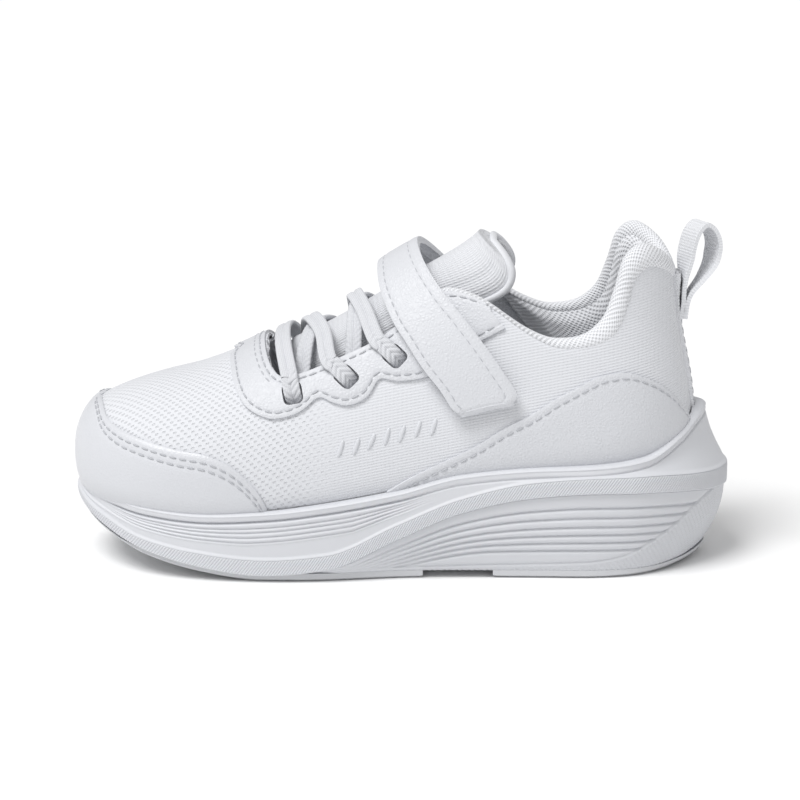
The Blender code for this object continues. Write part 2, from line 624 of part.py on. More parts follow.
def add_upper():
    slots = add_slot_cutters()
    columns = UPPER_COLUMNS
    skin, lining, stiff = (0.88, 0.89, 0.90), (0.84, 0.85, 0.86), (0.70, 0.70, 0.68)
    upper = add_skin("mesh_upper", both_sides(UPPER_RIBS), (len(UPPER_RIBS) - 1, columns), 0.0, MESH_THICKNESS,
                     (0.82, 0.83, 0.85), 0.8)
    add_skin("toe_overlay", both_sides(TOE_OVERLAY_RIBS), (15, 5), OVERLAY_INNER, OVERLAY_THICKNESS, skin, 0.5)
    eyestay = add_skin("eyestay", both_sides(EYESTAY_RIBS), (26, 2), OVERLAY_INNER, OVERLAY_THICKNESS, skin, 0.5)
    for side, ribs in (("lateral", QUARTER_OVERLAY_RIBS), ("medial", mirrored_ribs(QUARTER_OVERLAY_RIBS))):
        add_skin("quarter_overlay_" + side, [ribs], (18, 4), OVERLAY_INNER, OVERLAY_THICKNESS, skin, 0.5)

    stiffener_inner = LINING_OUTER - STIFFENER_THICKNESS
    counter_ribs = rib_part(HEEL_RIBS, COUNTER_SHARE, 1.0)
    foam_ribs = rib_part(HEEL_RIBS, 0.0, FOAM_SHARE)
    add_skin("toe_puff", both_sides(TOE_RIBS), (len(TOE_RIBS) - 1, columns), stiffener_inner, STIFFENER_THICKNESS,
             stiff, 0.7)
    add_skin("heel_counter", both_sides(counter_ribs), (len(HEEL_RIBS) - 1, 4), stiffener_inner,
             STIFFENER_THICKNESS, stiff, 0.7)
    add_skin("collar_foam", both_sides(foam_ribs), (len(HEEL_RIBS) - 1, 3), LINING_OUTER - COLLAR_PADDING,
             COLLAR_PADDING, (0.9, 0.88, 0.8), 0.9)

    under_mesh = LINING_OUTER - LINING_THICKNESS
    under_stiffener = stiffener_inner - FIT_GAP - LINING_THICKNESS
    under_foam = LINING_OUTER - COLLAR_PADDING - FIT_GAP - LINING_THICKNESS
    vamp_lining = add_skin(
        "vamp_lining", both_sides(VAMP_RIBS), (len(VAMP_RIBS) - 1, columns),
        lambda station, girth, share: under_stiffener + (under_mesh - under_stiffener) * ease(station, 4.0, 5.0),
        LINING_THICKNESS, lining, 0.9)
    add_skin(
        "heel_lining", both_sides(HEEL_RIBS), (len(HEEL_RIBS) - 1, columns),
        lambda station, girth, share: under_foam
        + (under_stiffener - under_foam) * ease(share, FOAM_SHARE, COUNTER_SHARE),
        LINING_THICKNESS, lining, 0.9)
    for body in (upper, eyestay, vamp_lining):
        for slot in slots:
            cut(body, slot)
    add_skin("insole_board", both_sides(BOARD_RIBS), (18, 2), 0.0, BOARD_THICKNESS, (0.75, 0.74, 0.70), 0.9)
    add_skin("sockliner", both_sides(BOARD_RIBS), (18, 2), -FIT_GAP - SOCKLINER_THICKNESS, SOCKLINER_THICKNESS,
             (0.85, 0.86, 0.87), 0.9)
    add_collar_roll()


def rib_part(ribs, start, end):
    """The band between two shares of each rib's length."""
    return [
        (a + (c - a) * start, b + (d - b) * start, a + (c - a) * end, b + (d - b) * end) for a, b, c, d in ribs
    ]


def direction_beside(station, girth, ahead):
    """The direction in the last's surface at right angles to a line that runs ahead there."""
    beside = np.cross(ahead, last_normal(station, girth))
    return beside / np.linalg.norm(beside)


def add_collar_roll():
    """The rolled edge round the collar, a tube that lies just above the upper's edge."""
    depth = -(MESH_THICKNESS + COLLAR_PADDING) / 2 + MESH_THICKNESS
    rise = COLLAR_ROLL_RADIUS + 2 * FIT_GAP
    steps = 24
    lateral = []
    for i in range(steps + 1):
        t = COLLAR_ROLL_START + (COLLAR_ROLL_END - COLLAR_ROLL_START) * i / steps
        station, girth = smooth_rows(UPPER_RIBS, t)[:2]
        ahead = np.array(smooth_rows(UPPER_RIBS, min(t + 0.2, COLLAR_ROLL_END))[:2])
        behind = np.array(smooth_rows(UPPER_RIBS, t - 0.2)[:2])
        travel = last_point(*ahead) - last_point(*behind)
        beside = direction_beside(station, girth, travel)
        beside *= 1 if beside[2] > 0 else -1
        lateral.append(on_last(station, girth, depth) + beside * rise)
    medial = [point * (1, -1, 1) for point in reversed(lateral[:-1])]
    ratio = np.mean(LAST[10:, 5]) / np.mean(LAST[10:, 4])
    medial = [np.array([x, y * ratio, z]) for x, y, z in medial]
    add_tube("collar_roll", lateral[:-1] + [lateral[-1] * (1, 0, 1)] + medial, COLLAR_ROLL_RADIUS)


def add_tube(name, points, radius):
    """A curve with a round section and filled caps, made a closed mesh."""
    curve = bpy.data.curves.new(name, "CURVE")
    curve.dimensions = "3D"
    curve.bevel_depth = radius * MM
    curve.bevel_resolution = 2
    curve.use_fill_caps = True
    spline = curve.splines.new("POLY")
    spline.points.add(len(points) - 1)
    for knot, point in zip(spline.points, points):
        knot.co = (*(point * MM), 1.0)
    tube = bpy.data.objects.new(name, curve)
    PARTS.objects.link(tube)
    mesh = bpy.data.meshes.new_from_object(tube.evaluated_get(bpy.context.evaluated_depsgraph_get()))
    bpy.data.objects.remove(tube)
    builder = bmesh.new()
    builder.from_mesh(mesh)
    bmesh.ops.remove_doubles(builder, verts=builder.verts, dist=0.001 * MM)
    builder.to_mesh(mesh)
    builder.free()
    mesh.name = name
    return add_object(name, mesh, (0.86, 0.87, 0.88), 0.8)


# Tongue, laces and strap


def add_tongue():
    """Cover, foam and lining. Their edges lie deeper than the middle, to pass inside the collar."""

    def sunk(depth):
        return lambda station, girth, share: -depth - TONGUE_EDGE_DROP * (girth / TONGUE_HALF_GIRTH) ** 2

    cover = TONGUE_DEPTH + TONGUE_SKIN
    foam = cover + LAYER_GAP + TONGUE_PADDING
    lining = foam + LAYER_GAP + TONGUE_SKIN
    add_skin("tongue_cover", [TONGUE_RIBS], (12, 8), sunk(cover), TONGUE_SKIN, (0.84, 0.85, 0.87), 0.85)
    add_skin("tongue_foam", [TONGUE_RIBS], (12, 8), sunk(foam), TONGUE_PADDING, (0.9, 0.88, 0.8), 0.9)
    add_skin("tongue_lining", [TONGUE_RIBS], (12, 8), sunk(lining), TONGUE_SKIN, (0.84, 0.85, 0.86), 0.9)


def ribbon_rows(path, width, steps):
    """Rows across a ribbon that follows (station, girth, offset) places along the last."""
    centres, normals = [], []
    for i in range(steps + 1):
        station, girth, offset = smooth_rows(path, i * (len(path) - 1) / steps)
        centres.append(on_last(station, girth, offset))
        normals.append(last_normal(station, girth))
    rows = []
    for i, (centre, normal) in enumerate(zip(centres, normals)):
        travel = centres[min(i + 1, steps)] - centres[max(i - 1, 0)]
        beside = np.cross(travel, normal)
        beside /= np.linalg.norm(beside)
        rows.append([centre - beside * width / 2, centre, centre + beside * width / 2])
    return rows


def slot_direction(index, side):
    """Which way the lace runs where it enters its slot: straight across, or from the row below."""
    station, girth = LACE_SLOTS[index]
    from_station = LACE_SLOTS[max(index - 1, 0)][0]
    return np.array([station, side * girth]), np.array([from_station, 0.0])


def lace_direction(index, side):
    place, origin = slot_direction(index, side)
    near = place + (origin - place) * 0.06
    travel = last_point(*place) - last_point(*near)
    return travel / np.linalg.norm(travel)


def add_slot_cutters():
    """A block through eyestay, mesh and lining at each lace slot, turned the way its lace runs."""
    cutters = []
    for index, (station, girth) in enumerate(LACE_SLOTS):
        for side in (1, -1):
            name = "lace_slot_%d_%s" % (index + 1, "lateral" if side > 0 else "medial")
            travel = lace_direction(index, side)
            normal = last_normal(station, side * girth)
            travel = travel - normal * np.dot(travel, normal)
            travel /= np.linalg.norm(travel)
            beside = np.cross(normal, travel)
            block = add_cube(name)
            centre = last_point(station, side * girth)
            sizes = (SLOT_LENGTH, LACE_WIDTH + 2 * SLOT_CLEARANCE, 12.0)
            for vertex in block.data.vertices:
                local = np.array(vertex.co) * sizes
                vertex.co = (centre + travel * local[0] + beside * local[1] + normal * local[2]) * MM
            cutters.append(as_cutter(block))
    return cutters


def slot_dive(index, side, half):
    """The places where a lace comes off the eyestay and goes down through its slot."""
    place, origin = slot_direction(index, side)
    step = (origin - place) / np.linalg.norm(last_point(*origin) - last_point(*place))
    over = OVERLAY_OUTER + FIT_GAP
    drop = [(half + 3.6, over), (half + 0.6, over), (0.7, 0.7 * over), (-1.0, -0.2), (-2.2, -2.6)]
    return [(*(place + step * distance), offset) for distance, offset in drop]


def add_lace(name, start, end, middle_offset, over_both=False):
    """One stretch of flat elastic, from under the eyestay at start to the slot at end, as (slot, side)."""
    dive = slot_dive(*end, SLOT_LENGTH / 2)
    if over_both:
        forward = LACE_SLOTS[end[0]][0] - BAR_BOW
        path = slot_dive(*start, SLOT_LENGTH / 2)[::-1] + [(forward, 0.0, middle_offset)] + dive
    else:
        station, side = LACE_SLOTS[start[0]][0], start[1]
        tucked = -(TONGUE_DEPTH - FIT_GAP)
        far_station = LACE_SLOTS[end[0]][0]
        near, far = station + 0.38, far_station - 0.24
        path = [
            (station + 0.12, side * 0.288, tucked), (station + 0.2, side * 0.24, tucked),
            (near, side * 0.13, middle_offset - 0.1), ((near + far) / 2, 0.0, middle_offset),
            (far, -side * 0.13, middle_offset + 0.1),
        ] + dive
    mesh = grid_mesh(name, ribbon_rows(path, LACE_WIDTH, 18))
    face_outwards(mesh)
    body = add_object(name, mesh, (0.88, 0.89, 0.90), 0.8)
    thicken(body, LACE_THICKNESS)


def add_laces():
    under = -(TONGUE_DEPTH - FIT_GAP) + LACE_THICKNESS + 0.2
    over = under + LACE_THICKNESS + LAYER_GAP + 0.2
    add_lace("lace_front_bar", (0, 1), (0, -1), over + FIT_GAP, over_both=True)
    add_lace("lace_cross_1_over", (0, -1), (1, 1), over)
    add_lace("lace_cross_1_under", (0, 1), (1, -1), under)
    add_lace("lace_cross_2_over", (1, -1), (2, 1), over)
    add_lace("lace_cross_2_under", (1, 1), (2, -1), under)


def strap_stretch(start, end, count):
    """Ribs of the strap between two shares of its length, measured from its free end."""
    last = len(STRAP_RIBS) - 1
    return [tuple(smooth_rows(STRAP_RIBS, (start + (end - start) * i / count) * last)) for i in range(count + 1)]


def add_strap():
    skin = (0.88, 0.89, 0.90)
    add_skin("strap", [STRAP_RIBS], (22, 4), STRAP_INNER, STRAP_THICKNESS, skin, 0.5)
    hook = [(a + 0.12, b, c - 0.12, d) for a, b, c, d in strap_stretch(*HOOK_PATCH_SHARE, 6)]
    add_skin("hook_patch", [hook], (10, 3), HOOK_TAPE_INNER, TAPE_THICKNESS, (0.85, 0.85, 0.85), 0.9)
    add_skin("loop_patch", [LOOP_PATCH_RIBS], (8, 3), LOOP_TAPE_INNER, TAPE_THICKNESS, (0.85, 0.85, 0.85), 0.95)
    fold = STRAP_RIBS[-1]
    millimetre = 1.0 / np.linalg.norm(last_point(fold[0], -0.3) - last_point(fold[0], -0.31)) * 0.01
    gap = STRAP_SPLIT * millimetre
    anchor = [(fold[0], fold[1] - gap, fold[2], fold[3] - gap), (fold[0], -0.34, fold[2], -0.34),
              (STRAP_END_RIB[0], -0.385, STRAP_END_RIB[2], -0.385), STRAP_END_RIB]
    settle = OVERLAY_OUTER + FIT_GAP - STRAP_INNER
    add_skin("strap_anchor", [anchor], (8, 4),
             lambda station, girth, share: STRAP_INNER + settle * ease(-girth, 0.31, 0.38), STRAP_THICKNESS, skin, 0.5)


# Heel trim


def add_heel_trim():
    girth_per_mm = 1.0 / half_ring(14.0, 1)[1][-1]
    edge = 1.0 - BACK_STRIP_WIDTH / 2 * girth_per_mm
    strip = [(station, edge, station, 1.0) for station in (13.8, 14.2, 14.6, 15.0, 15.35)]
    add_skin("back_strip", both_sides(strip), (10, 2), OVERLAY_OUTER + FIT_GAP, WEBBING_THICKNESS,
             (0.86, 0.87, 0.88), 0.8)
    steps = 26
    rows = []
    shift = (SHOE_LENGTH - DRAWN_LENGTH) / 2
    for i in range(steps + 1):
        x, z = smooth_rows(PULL_LOOP_PATH, i * (len(PULL_LOOP_PATH) - 1) / steps)
        rows.append([np.array([x + shift, y, z]) for y in (-LOOP_WIDTH / 2, 0.0, LOOP_WIDTH / 2)])
    mesh = grid_mesh("pull_loop", rows)
    body = add_object("pull_loop", mesh, (0.86, 0.87, 0.88), 0.8)
    thicken(body, WEBBING_THICKNESS, 0.0)
    set_origin(body, (LOOP_PIVOT[0] + shift, 0.0, LOOP_PIVOT[1]))


def set_origin(body, place):
    """Moves an object's origin to a place in millimetres and leaves its shape where it is."""
    origin = np.array(place) * MM
    for vertex in body.data.vertices:
        vertex.co = np.array(vertex.co) - origin
    body.location = origin


def hang_on_axis(name, place, nodes):
    """Parents moving pieces to an empty that stands on their joint's axis."""
    pivot = bpy.data.objects.new(name, None)
    PARTS.objects.link(pivot)
    pivot.location = np.array(place) * MM
    for node in nodes:
        body = bpy.data.objects[node]
        for vertex in body.data.vertices:
            vertex.co = np.array(vertex.co) - np.array(pivot.location)
        body.parent = pivot


def main():
    for old in list(bpy.data.objects):
        bpy.data.objects.remove(old)
    add_sole(sole_outline())
    add_upper()
    add_tongue()
    add_laces()
    add_strap()
    add_heel_trim()
    fold = STRAP_RIBS[-1]
    fold_offset = STRAP_INNER + STRAP_THICKNESS
    fold_middle = (on_last(fold[0], fold[1], fold_offset) + on_last(fold[2], fold[3], fold_offset)) / 2
    hang_on_axis("strap_fold", fold_middle, ["strap", "hook_patch"])
    hang_on_axis("tongue_seam", on_last(TONGUE_RIBS[0][0], 0.0, -TONGUE_DEPTH - TONGUE_SKIN),
                 ["tongue_cover", "tongue_foam", "tongue_lining"])


PARTS = add_collection("running_shoe")
CUTTERS = add_collection("cutters")
main()
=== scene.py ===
import math
import json
import bpy
import numpy as np
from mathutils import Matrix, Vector
from mathutils.bvhtree import BVHTree


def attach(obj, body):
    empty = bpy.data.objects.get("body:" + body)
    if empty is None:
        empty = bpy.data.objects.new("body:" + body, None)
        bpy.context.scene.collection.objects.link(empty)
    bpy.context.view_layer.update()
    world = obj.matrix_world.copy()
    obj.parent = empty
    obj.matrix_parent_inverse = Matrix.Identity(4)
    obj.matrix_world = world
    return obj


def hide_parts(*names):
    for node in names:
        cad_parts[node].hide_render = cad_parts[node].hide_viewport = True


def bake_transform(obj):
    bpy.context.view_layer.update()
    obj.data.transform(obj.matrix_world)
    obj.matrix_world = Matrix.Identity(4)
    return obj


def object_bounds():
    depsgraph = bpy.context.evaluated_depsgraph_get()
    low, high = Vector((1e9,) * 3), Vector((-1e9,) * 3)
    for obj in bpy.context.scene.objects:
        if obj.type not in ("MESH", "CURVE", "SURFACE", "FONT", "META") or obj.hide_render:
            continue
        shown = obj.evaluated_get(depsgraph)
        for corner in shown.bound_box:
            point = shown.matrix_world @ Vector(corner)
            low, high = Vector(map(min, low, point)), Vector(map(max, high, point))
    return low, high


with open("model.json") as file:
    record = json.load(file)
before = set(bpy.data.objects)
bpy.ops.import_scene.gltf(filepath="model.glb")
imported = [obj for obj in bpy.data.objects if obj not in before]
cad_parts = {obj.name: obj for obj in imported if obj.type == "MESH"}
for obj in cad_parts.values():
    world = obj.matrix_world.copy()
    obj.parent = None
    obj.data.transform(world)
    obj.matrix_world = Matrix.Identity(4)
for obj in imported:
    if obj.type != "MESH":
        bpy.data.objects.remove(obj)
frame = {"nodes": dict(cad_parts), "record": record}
bpy.ops.object.select_all(action="DESELECT")
cadLow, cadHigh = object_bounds()
mm = 0.001
print("frame loaded")

# One running shoe: toe towards -X, lateral side towards -Y. The knit, overlays, laces, strap and pads are
# laid on the last, the foot-shaped form the shoe is made round. A place on it is (station, girth): station
# 0 is the toe tip and 17 the top of the ankle; girth 0 is the ridge, 1 the bottom line on the lateral side
# and -1 the bottom line on the medial side. Lengths are in millimetres.
shoe = {
    "length": (cadHigh.x - cadLow.x) / mm,
    "width": (cadHigh.y - cadLow.y) / mm,
    "drawnLength": 210.6, "drawnWidth": 79.06,
    "white": (0.70, 0.71, 0.74),
    "skinWhite": (0.63, 0.64, 0.67),
}
lengthScale = shoe["length"] / shoe["drawnLength"]
widthScale = shoe["width"] / shoe["drawnWidth"]

# top x, top z, bottom x, bottom z, lateral, medial, widest place, roundness above and below
last = np.array([
    (-102.7, 33.5, -102.7, 33.5, 0, 0, 0.45, 2.2, 2.2), (-101.3, 42, -101.3, 25, 9.5, 9.5, 0.45, 2.2, 2.3),
    (-96.8, 48.6, -97.2, 20.5, 18.5, 18.5, 0.42, 2.2, 2.6), (-88, 53, -88.5, 18.2, 27, 26.5, 0.38, 2.2, 3),
    (-76.5, 56.7, -76, 16.6, 33, 32.5, 0.35, 2.2, 3.2), (-63, 60.2, -61, 15.2, 36, 35.5, 0.33, 2.2, 3.3),
    (-50.5, 65.3, -45, 15, 36.7, 35.8, 0.32, 2.1, 3.3), (-38, 71.8, -27, 16.3, 36.2, 34.3, 0.31, 2, 3.2),
    (-25, 78, -6, 19.2, 34.6, 31.5, 0.3, 1.95, 3.1), (-11, 86.2, 17, 23, 32.8, 29.2, 0.29, 1.9, 3),
    (2, 94.2, 43, 26, 32, 29, 0.28, 1.9, 3), (12, 100, 68, 27, 31.2, 29.5, 0.28, 1.95, 2.8),
    (19, 104.5, 84, 29.5, 30.2, 29.3, 0.33, 2, 2.5), (23, 108, 92, 39, 29, 28.5, 0.4, 2.1, 2.3),
    (26, 112, 91.2, 56, 27.5, 27.2, 0.45, 2.2, 2.3), (28, 117, 87.4, 76, 26.5, 26.5, 0.48, 2.3, 2.3),
    (29, 123, 85.3, 96, 26, 26, 0.5, 2.3, 2.3), (29.5, 130, 85, 112, 26, 26, 0.5, 2.3, 2.3),
])


def smoothRows(table, t):
    # rows of a table at fractional places t, on a Catmull-Rom curve
    table = np.asarray(table, float)
    t = np.clip(np.atleast_1d(np.asarray(t, float)), 0, len(table) - 1)
    i = np.minimum(t.astype(int), len(table) - 2)
    f = (t - i)[:, None]
    padded = np.vstack([2 * table[0] - table[1], table, 2 * table[-1] - table[-2]])
    before, start, end, after = padded[i], padded[i + 1], padded[i + 2], padded[i + 3]
    return 0.5 * (2 * start + (end - before) * f + (2 * before - 5 * start + 4 * end - after) * f**2
                  + (3 * start - before - 3 * end + after) * f**3)


def evenRows(table, count):
    return smoothRows(table, np.linspace(0, len(table) - 1, count))


def steadyLine(xs, ys, x):
    # a smooth line through points that never swings past them
    xs, ys, x = np.asarray(xs, float), np.asarray(ys, float), np.asarray(x, float)
    slopes = np.diff(ys) / np.diff(xs)
    left, right = slopes[:-1], slopes[1:]
    product = left * right
    inner = np.where(product > 0, 2 * product / np.where(product > 0, left + right, 1.0), 0.0)
    tangents = np.concatenate([[slopes[0]], inner, [slopes[-1]]])
    i = np.clip(np.searchsorted(xs, x) - 1, 0, len(xs) - 2)
    step = xs[i + 1] - xs[i]
    f = np.clip((x - xs[i]) / step, 0, 1)
    return ((1 + 2 * f) * (1 - f)**2 * ys[i] + f * (1 - f)**2 * step * tangents[i]
            + f**2 * (3 - 2 * f) * ys[i + 1] + f**2 * (f - 1) * step * tangents[i + 1])


def lengthAlong(points):
    return np.concatenate([[0.0], np.cumsum(np.linalg.norm(np.diff(points, axis=0), axis=1))])


def pointsAt(distances, along, points):
    return np.stack([np.interp(distances, along, points[:, axis]) for axis in range(points.shape[1])], -1)


def wrapped(face, back):
    # a face and its back as one lattice that closes on itself
    return np.concatenate([face, back[:, ::-1], face[:, :1]], 1)


def unit(vectors):
    return vectors / np.linalg.norm(vectors, axis=-1, keepdims=True)


def ease(value, start, end):
    f = np.clip((np.asarray(value, float) - start) / (end - start), 0, 1)
    return f * f * (3 - 2 * f)


def ridge(distance, width):
    # 1 on a line and 0 away from it, for stitched channels and grooves
    return np.exp(-(np.asarray(distance, float) / width)**2)


# The last as a fine net of points and normals, read between its knots
lastNet = {"perStation": 40, "perSide": 150}
turn = np.linspace(0.0, math.pi, 181)


def lastSection(station):
    if station < 1.0:
        tip, first, second = last[0], last[1], last[2]
        before = first.copy()
        before[[1, 3]] = 2 * tip[[1, 3]] - first[[1, 3]]
        before[[4, 5]] = -first[[4, 5]]
        return smoothRows([before, tip, first, second], 1.0 + station)[0]
    return smoothRows(last, station)[0]


def halfRing(section, side, girths):
    topX, topZ, bottomX, bottomZ, lateral, medial, widest, roundTop, roundBottom = section
    power = np.where(turn < math.pi / 2, 2 / roundTop, 2 / roundBottom)
    rise = np.abs(np.cos(turn))**power
    out = np.abs(np.sin(turn))**power
    share = np.where(turn < math.pi / 2, widest + (1 - widest) * rise, widest - widest * rise)
    width = -lateral if side > 0 else medial
    points = np.stack([(bottomX + (topX - bottomX) * share) * lengthScale, width * out * widthScale,
                       bottomZ + (topZ - bottomZ) * share], -1)
    along = lengthAlong(points)
    return pointsAt(girths * along[-1], along, points), along[-1]


def makeLastNet():
    stations = np.linspace(0, len(last) - 1, (len(last) - 1) * lastNet["perStation"] + 1)
    girths = np.linspace(0, 1, lastNet["perSide"] + 1)
    rows, girthLengths = [], []
    for station in stations:
        section = lastSection(station)
        lateral, length = halfRing(section, 1, girths)
        medial, _ = halfRing(section, -1, girths)
        rows.append(np.vstack([medial[::-1], lateral[1:]]))
        girthLengths.append(length)
    net = np.array(rows)
    ahead = np.gradient(net, axis=0)
    around = np.gradient(net, axis=1)
    wrap = net[:, 1] - net[:, -2]
    around[:, 0] = around[:, -1] = wrap
    normals = np.cross(around, ahead)
    size = np.linalg.norm(normals, axis=-1, keepdims=True)
    normals = np.where(size > 1e-9, normals / np.maximum(size, 1e-9), (-1.0, 0.0, 0.0))
    normals[:2] = (-1.0, 0.0, 0.0)
    return net, normals, np.array(girthLengths)


lastPoints, lastNormals, girthLengths = makeLastNet()


def readNet(net, station, girth):
    i = np.clip(station, 0, len(last) - 1) * lastNet["perStation"]
    j = (np.clip(girth, -1, 1) + 1) * lastNet["perSide"]
    i0 = np.minimum(i.astype(int), net.shape[0] - 2)
    j0 = np.minimum(j.astype(int), net.shape[1] - 2)
    fi, fj = (i - i0)[..., None], (j - j0)[..., None]
    return ((net[i0, j0] * (1 - fj) + net[i0, j0 + 1] * fj) * (1 - fi)
            + (net[i0 + 1, j0] * (1 - fj) + net[i0 + 1, j0 + 1] * fj) * fi)


def normalOn(station, girth):
    station, girth = np.broadcast_arrays(np.asarray(station, float), np.asarray(girth, float))
    return unit(readNet(lastNormals, station, girth))


def onLast(station, girth, offset):
    # points in millimetres at places on the last, offset along its normal
    station, girth, offset = np.broadcast_arrays(*(np.asarray(a, float) for a in (station, girth, offset)))
    return readNet(lastPoints, station, girth) + normalOn(station, girth) * offset[..., None]


def girthMillimetres(station, girth):
    # the distance round the last from its ridge
    return girth * np.interp(station, np.arange(len(girthLengths)) / lastNet["perStation"], girthLengths)


print("last ready")


# Making and finishing a mesh
def only(piece):
    bpy.ops.object.select_all(action="DESELECT")
    piece.select_set(True)
    bpy.context.view_layer.objects.active = piece


def layLattice(name, lattice, pattern):
    # a grid whose points are laid at lattice[i, j], in millimetres, with pattern[i, j] as its UV map
    columns, rows = lattice.shape[0] - 1, lattice.shape[1] - 1
    bpy.ops.mesh.primitive_grid_add(x_subdivisions=columns, y_subdivisions=rows, size=2)
    piece = bpy.context.object
    piece.name = piece.data.name = name
    mesh = piece.data
    flat = np.empty(len(mesh.vertices) * 3)
    mesh.vertices.foreach_get("co", flat)
    i, j = np.rint((flat.reshape(-1, 3)[:, :2].T + 1) / 2 * [[columns], [rows]]).astype(int)
    mesh.vertices.foreach_set("co", (lattice[i, j] * mm).ravel())
    corner = np.empty(len(mesh.loops), int)
    mesh.loops.foreach_get("vertex_index", corner)
    mesh.uv_layers[0].data.foreach_set("uv", pattern[i, j][corner].ravel())
    mesh.update()
    return piece


def editAll(piece, *steps):
    only(piece)
    bpy.ops.object.mode_set(mode="EDIT")
    bpy.ops.mesh.select_mode(type="VERT")
    bpy.ops.mesh.select_all(action="SELECT")
    for step in steps:
        step()
    bpy.ops.object.mode_set(mode="OBJECT")


def weld(merge):
    return lambda: bpy.ops.mesh.remove_doubles(threshold=merge * mm)


def facesOut():
    bpy.ops.mesh.select_all(action="SELECT")
    bpy.ops.mesh.normals_make_consistent(inside=False)


def fillEnds():
    bpy.ops.mesh.select_all(action="DESELECT")
    bpy.ops.mesh.select_non_manifold(extend=False, use_wire=False, use_boundary=True, use_multi_face=False,
                                     use_non_contiguous=False, use_verts=False)
    bpy.ops.mesh.fill_holes(sides=0)


def closed(piece, merge=None):
    # fills a form's open ends, once its seam is welded
    editAll(piece, *([weld(merge)] if merge else []), fillEnds, facesOut)
    return piece


def joinPieces(name, pieces, merge=0.03):
    only(pieces[0])
    for piece in pieces[1:]:
        piece.select_set(True)
    if len(pieces) > 1:
        bpy.ops.object.join()
    whole = bpy.context.object
    whole.name = whole.data.name = name
    editAll(whole, weld(merge), facesOut)
    return whole


def faceOutwards(piece):
    # turns an open skin so that its faces look away from the middle of the shoe
    mesh = piece.data
    centres, normals, areas = (np.empty(len(mesh.polygons) * n) for n in (3, 3, 1))
    mesh.polygons.foreach_get("center", centres)
    mesh.polygons.foreach_get("normal", normals)
    mesh.polygons.foreach_get("area", areas)
    centres = centres.reshape(-1, 3) / mm
    away = centres - np.stack([centres[:, 0], 0 * centres[:, 0], 0 * centres[:, 0] + 45], -1)
    if (areas * np.sign((away * normals.reshape(-1, 3)).sum(1))).sum() < 0:
        editAll(piece, bpy.ops.mesh.flip_normals)


def applied(piece, kind, **values):
    only(piece)
    modifier = piece.modifiers.new(kind.title(), kind)
    for key, value in values.items():
        setattr(modifier, key, value)
    bpy.ops.object.modifier_apply(modifier=modifier.name)


def smoothed(piece, degrees=45):
    only(piece)
    bpy.ops.object.shade_smooth_by_angle(angle=math.radians(degrees))
    return piece


def dressed(piece, slotName, stands=(), body="shoe", finish=None):
    piece.data.materials.clear()
    piece.data.materials.append(finishes[finish or slotName])
    if body:
        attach(piece, body)
    if stands:
        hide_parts(*stands)
    return piece


def skinLattice(ribs, cells, offset, byPlace=False):
    # a band of the last between guide lines (upper station, upper girth, lower station, lower girth)
    u, v = np.meshgrid(np.linspace(0, 1, cells[0] + 1), np.linspace(0, 1, cells[1] + 1), indexing="ij")
    rows = smoothRows(ribs, (u * (len(ribs) - 1)).ravel()).reshape(*u.shape, 4)
    girths = np.array([[rib[1], rib[3]] for rib in ribs])
    low, high = (0 if girths.min() >= 0 else -1), (0 if girths.max() <= 0 else 1)
    start, end = np.clip(rows[..., 1], low, high), np.clip(rows[..., 3], low, high)
    if low == 0 or high == 0:  # a seam on the ridge or the bottom line stays on it
        start = np.where(np.abs(start) < 0.012, 0.0, start)
        start, end = (np.where(np.abs(a) > 0.988, np.sign(a), a) for a in (start, end))
    station = rows[..., 0] + (rows[..., 2] - rows[..., 0]) * v
    girth = start + (end - start) * v
    across = np.linalg.norm(onLast(rows[..., 0], start, 0) - onLast(rows[..., 2], end, 0), axis=-1)
    lift = offset(station, girth, u, v, across) if callable(offset) else offset
    points = onLast(station, girth, lift + 0 * station)
    if byPlace:
        return points, np.stack([points[..., 0], girthMillimetres(station, girth)], -1)
    along = lengthAlong(points[:, cells[1] // 2])
    return points, np.stack([along[:, None] + 0 * v, v * across], -1)


def mirrored(ribs):
    return [(a, -b, c, -d) for a, b, c, d in ribs]


def bothSides(ribs):
    return [ribs, mirrored(ribs)]


def laidSkin(name, ribSets, cells, offset, thickness, rim=0.22, byPlace=False):
    pieces = [layLattice(name, *skinLattice(ribs, cells, offset, byPlace)) for ribs in ribSets]
    skin = joinPieces(name, pieces)
    faceOutwards(skin)
    applied(skin, "SOLIDIFY", thickness=thickness * mm, offset=1.0)
    applied(skin, "BEVEL", width=rim * mm, segments=2, limit_method="ANGLE", angle_limit=math.radians(55))
    return smoothed(skin)


def laidPad(name, ribSets, cells, outer, inner, halves=False):
    # a closed cushion on the last; of two halves, each stays open along the line where they meet
    pieces = []
    for ribs in ribSets:
        face, facePattern = skinLattice(ribs, cells, inner)
        back, backPattern = skinLattice(ribs, cells, outer)
        lattice = np.concatenate([face[:, ::-1], back], 1)
        pattern = np.concatenate([facePattern[:, ::-1], backPattern], 1)
        if not halves:
            lattice, pattern = (np.concatenate([a, a[:, :1]], 1) for a in (lattice, pattern))
        pieces.append(layLattice(name, lattice, pattern))
    return smoothed(joinPieces(name, pieces, merge=0.06), 60)


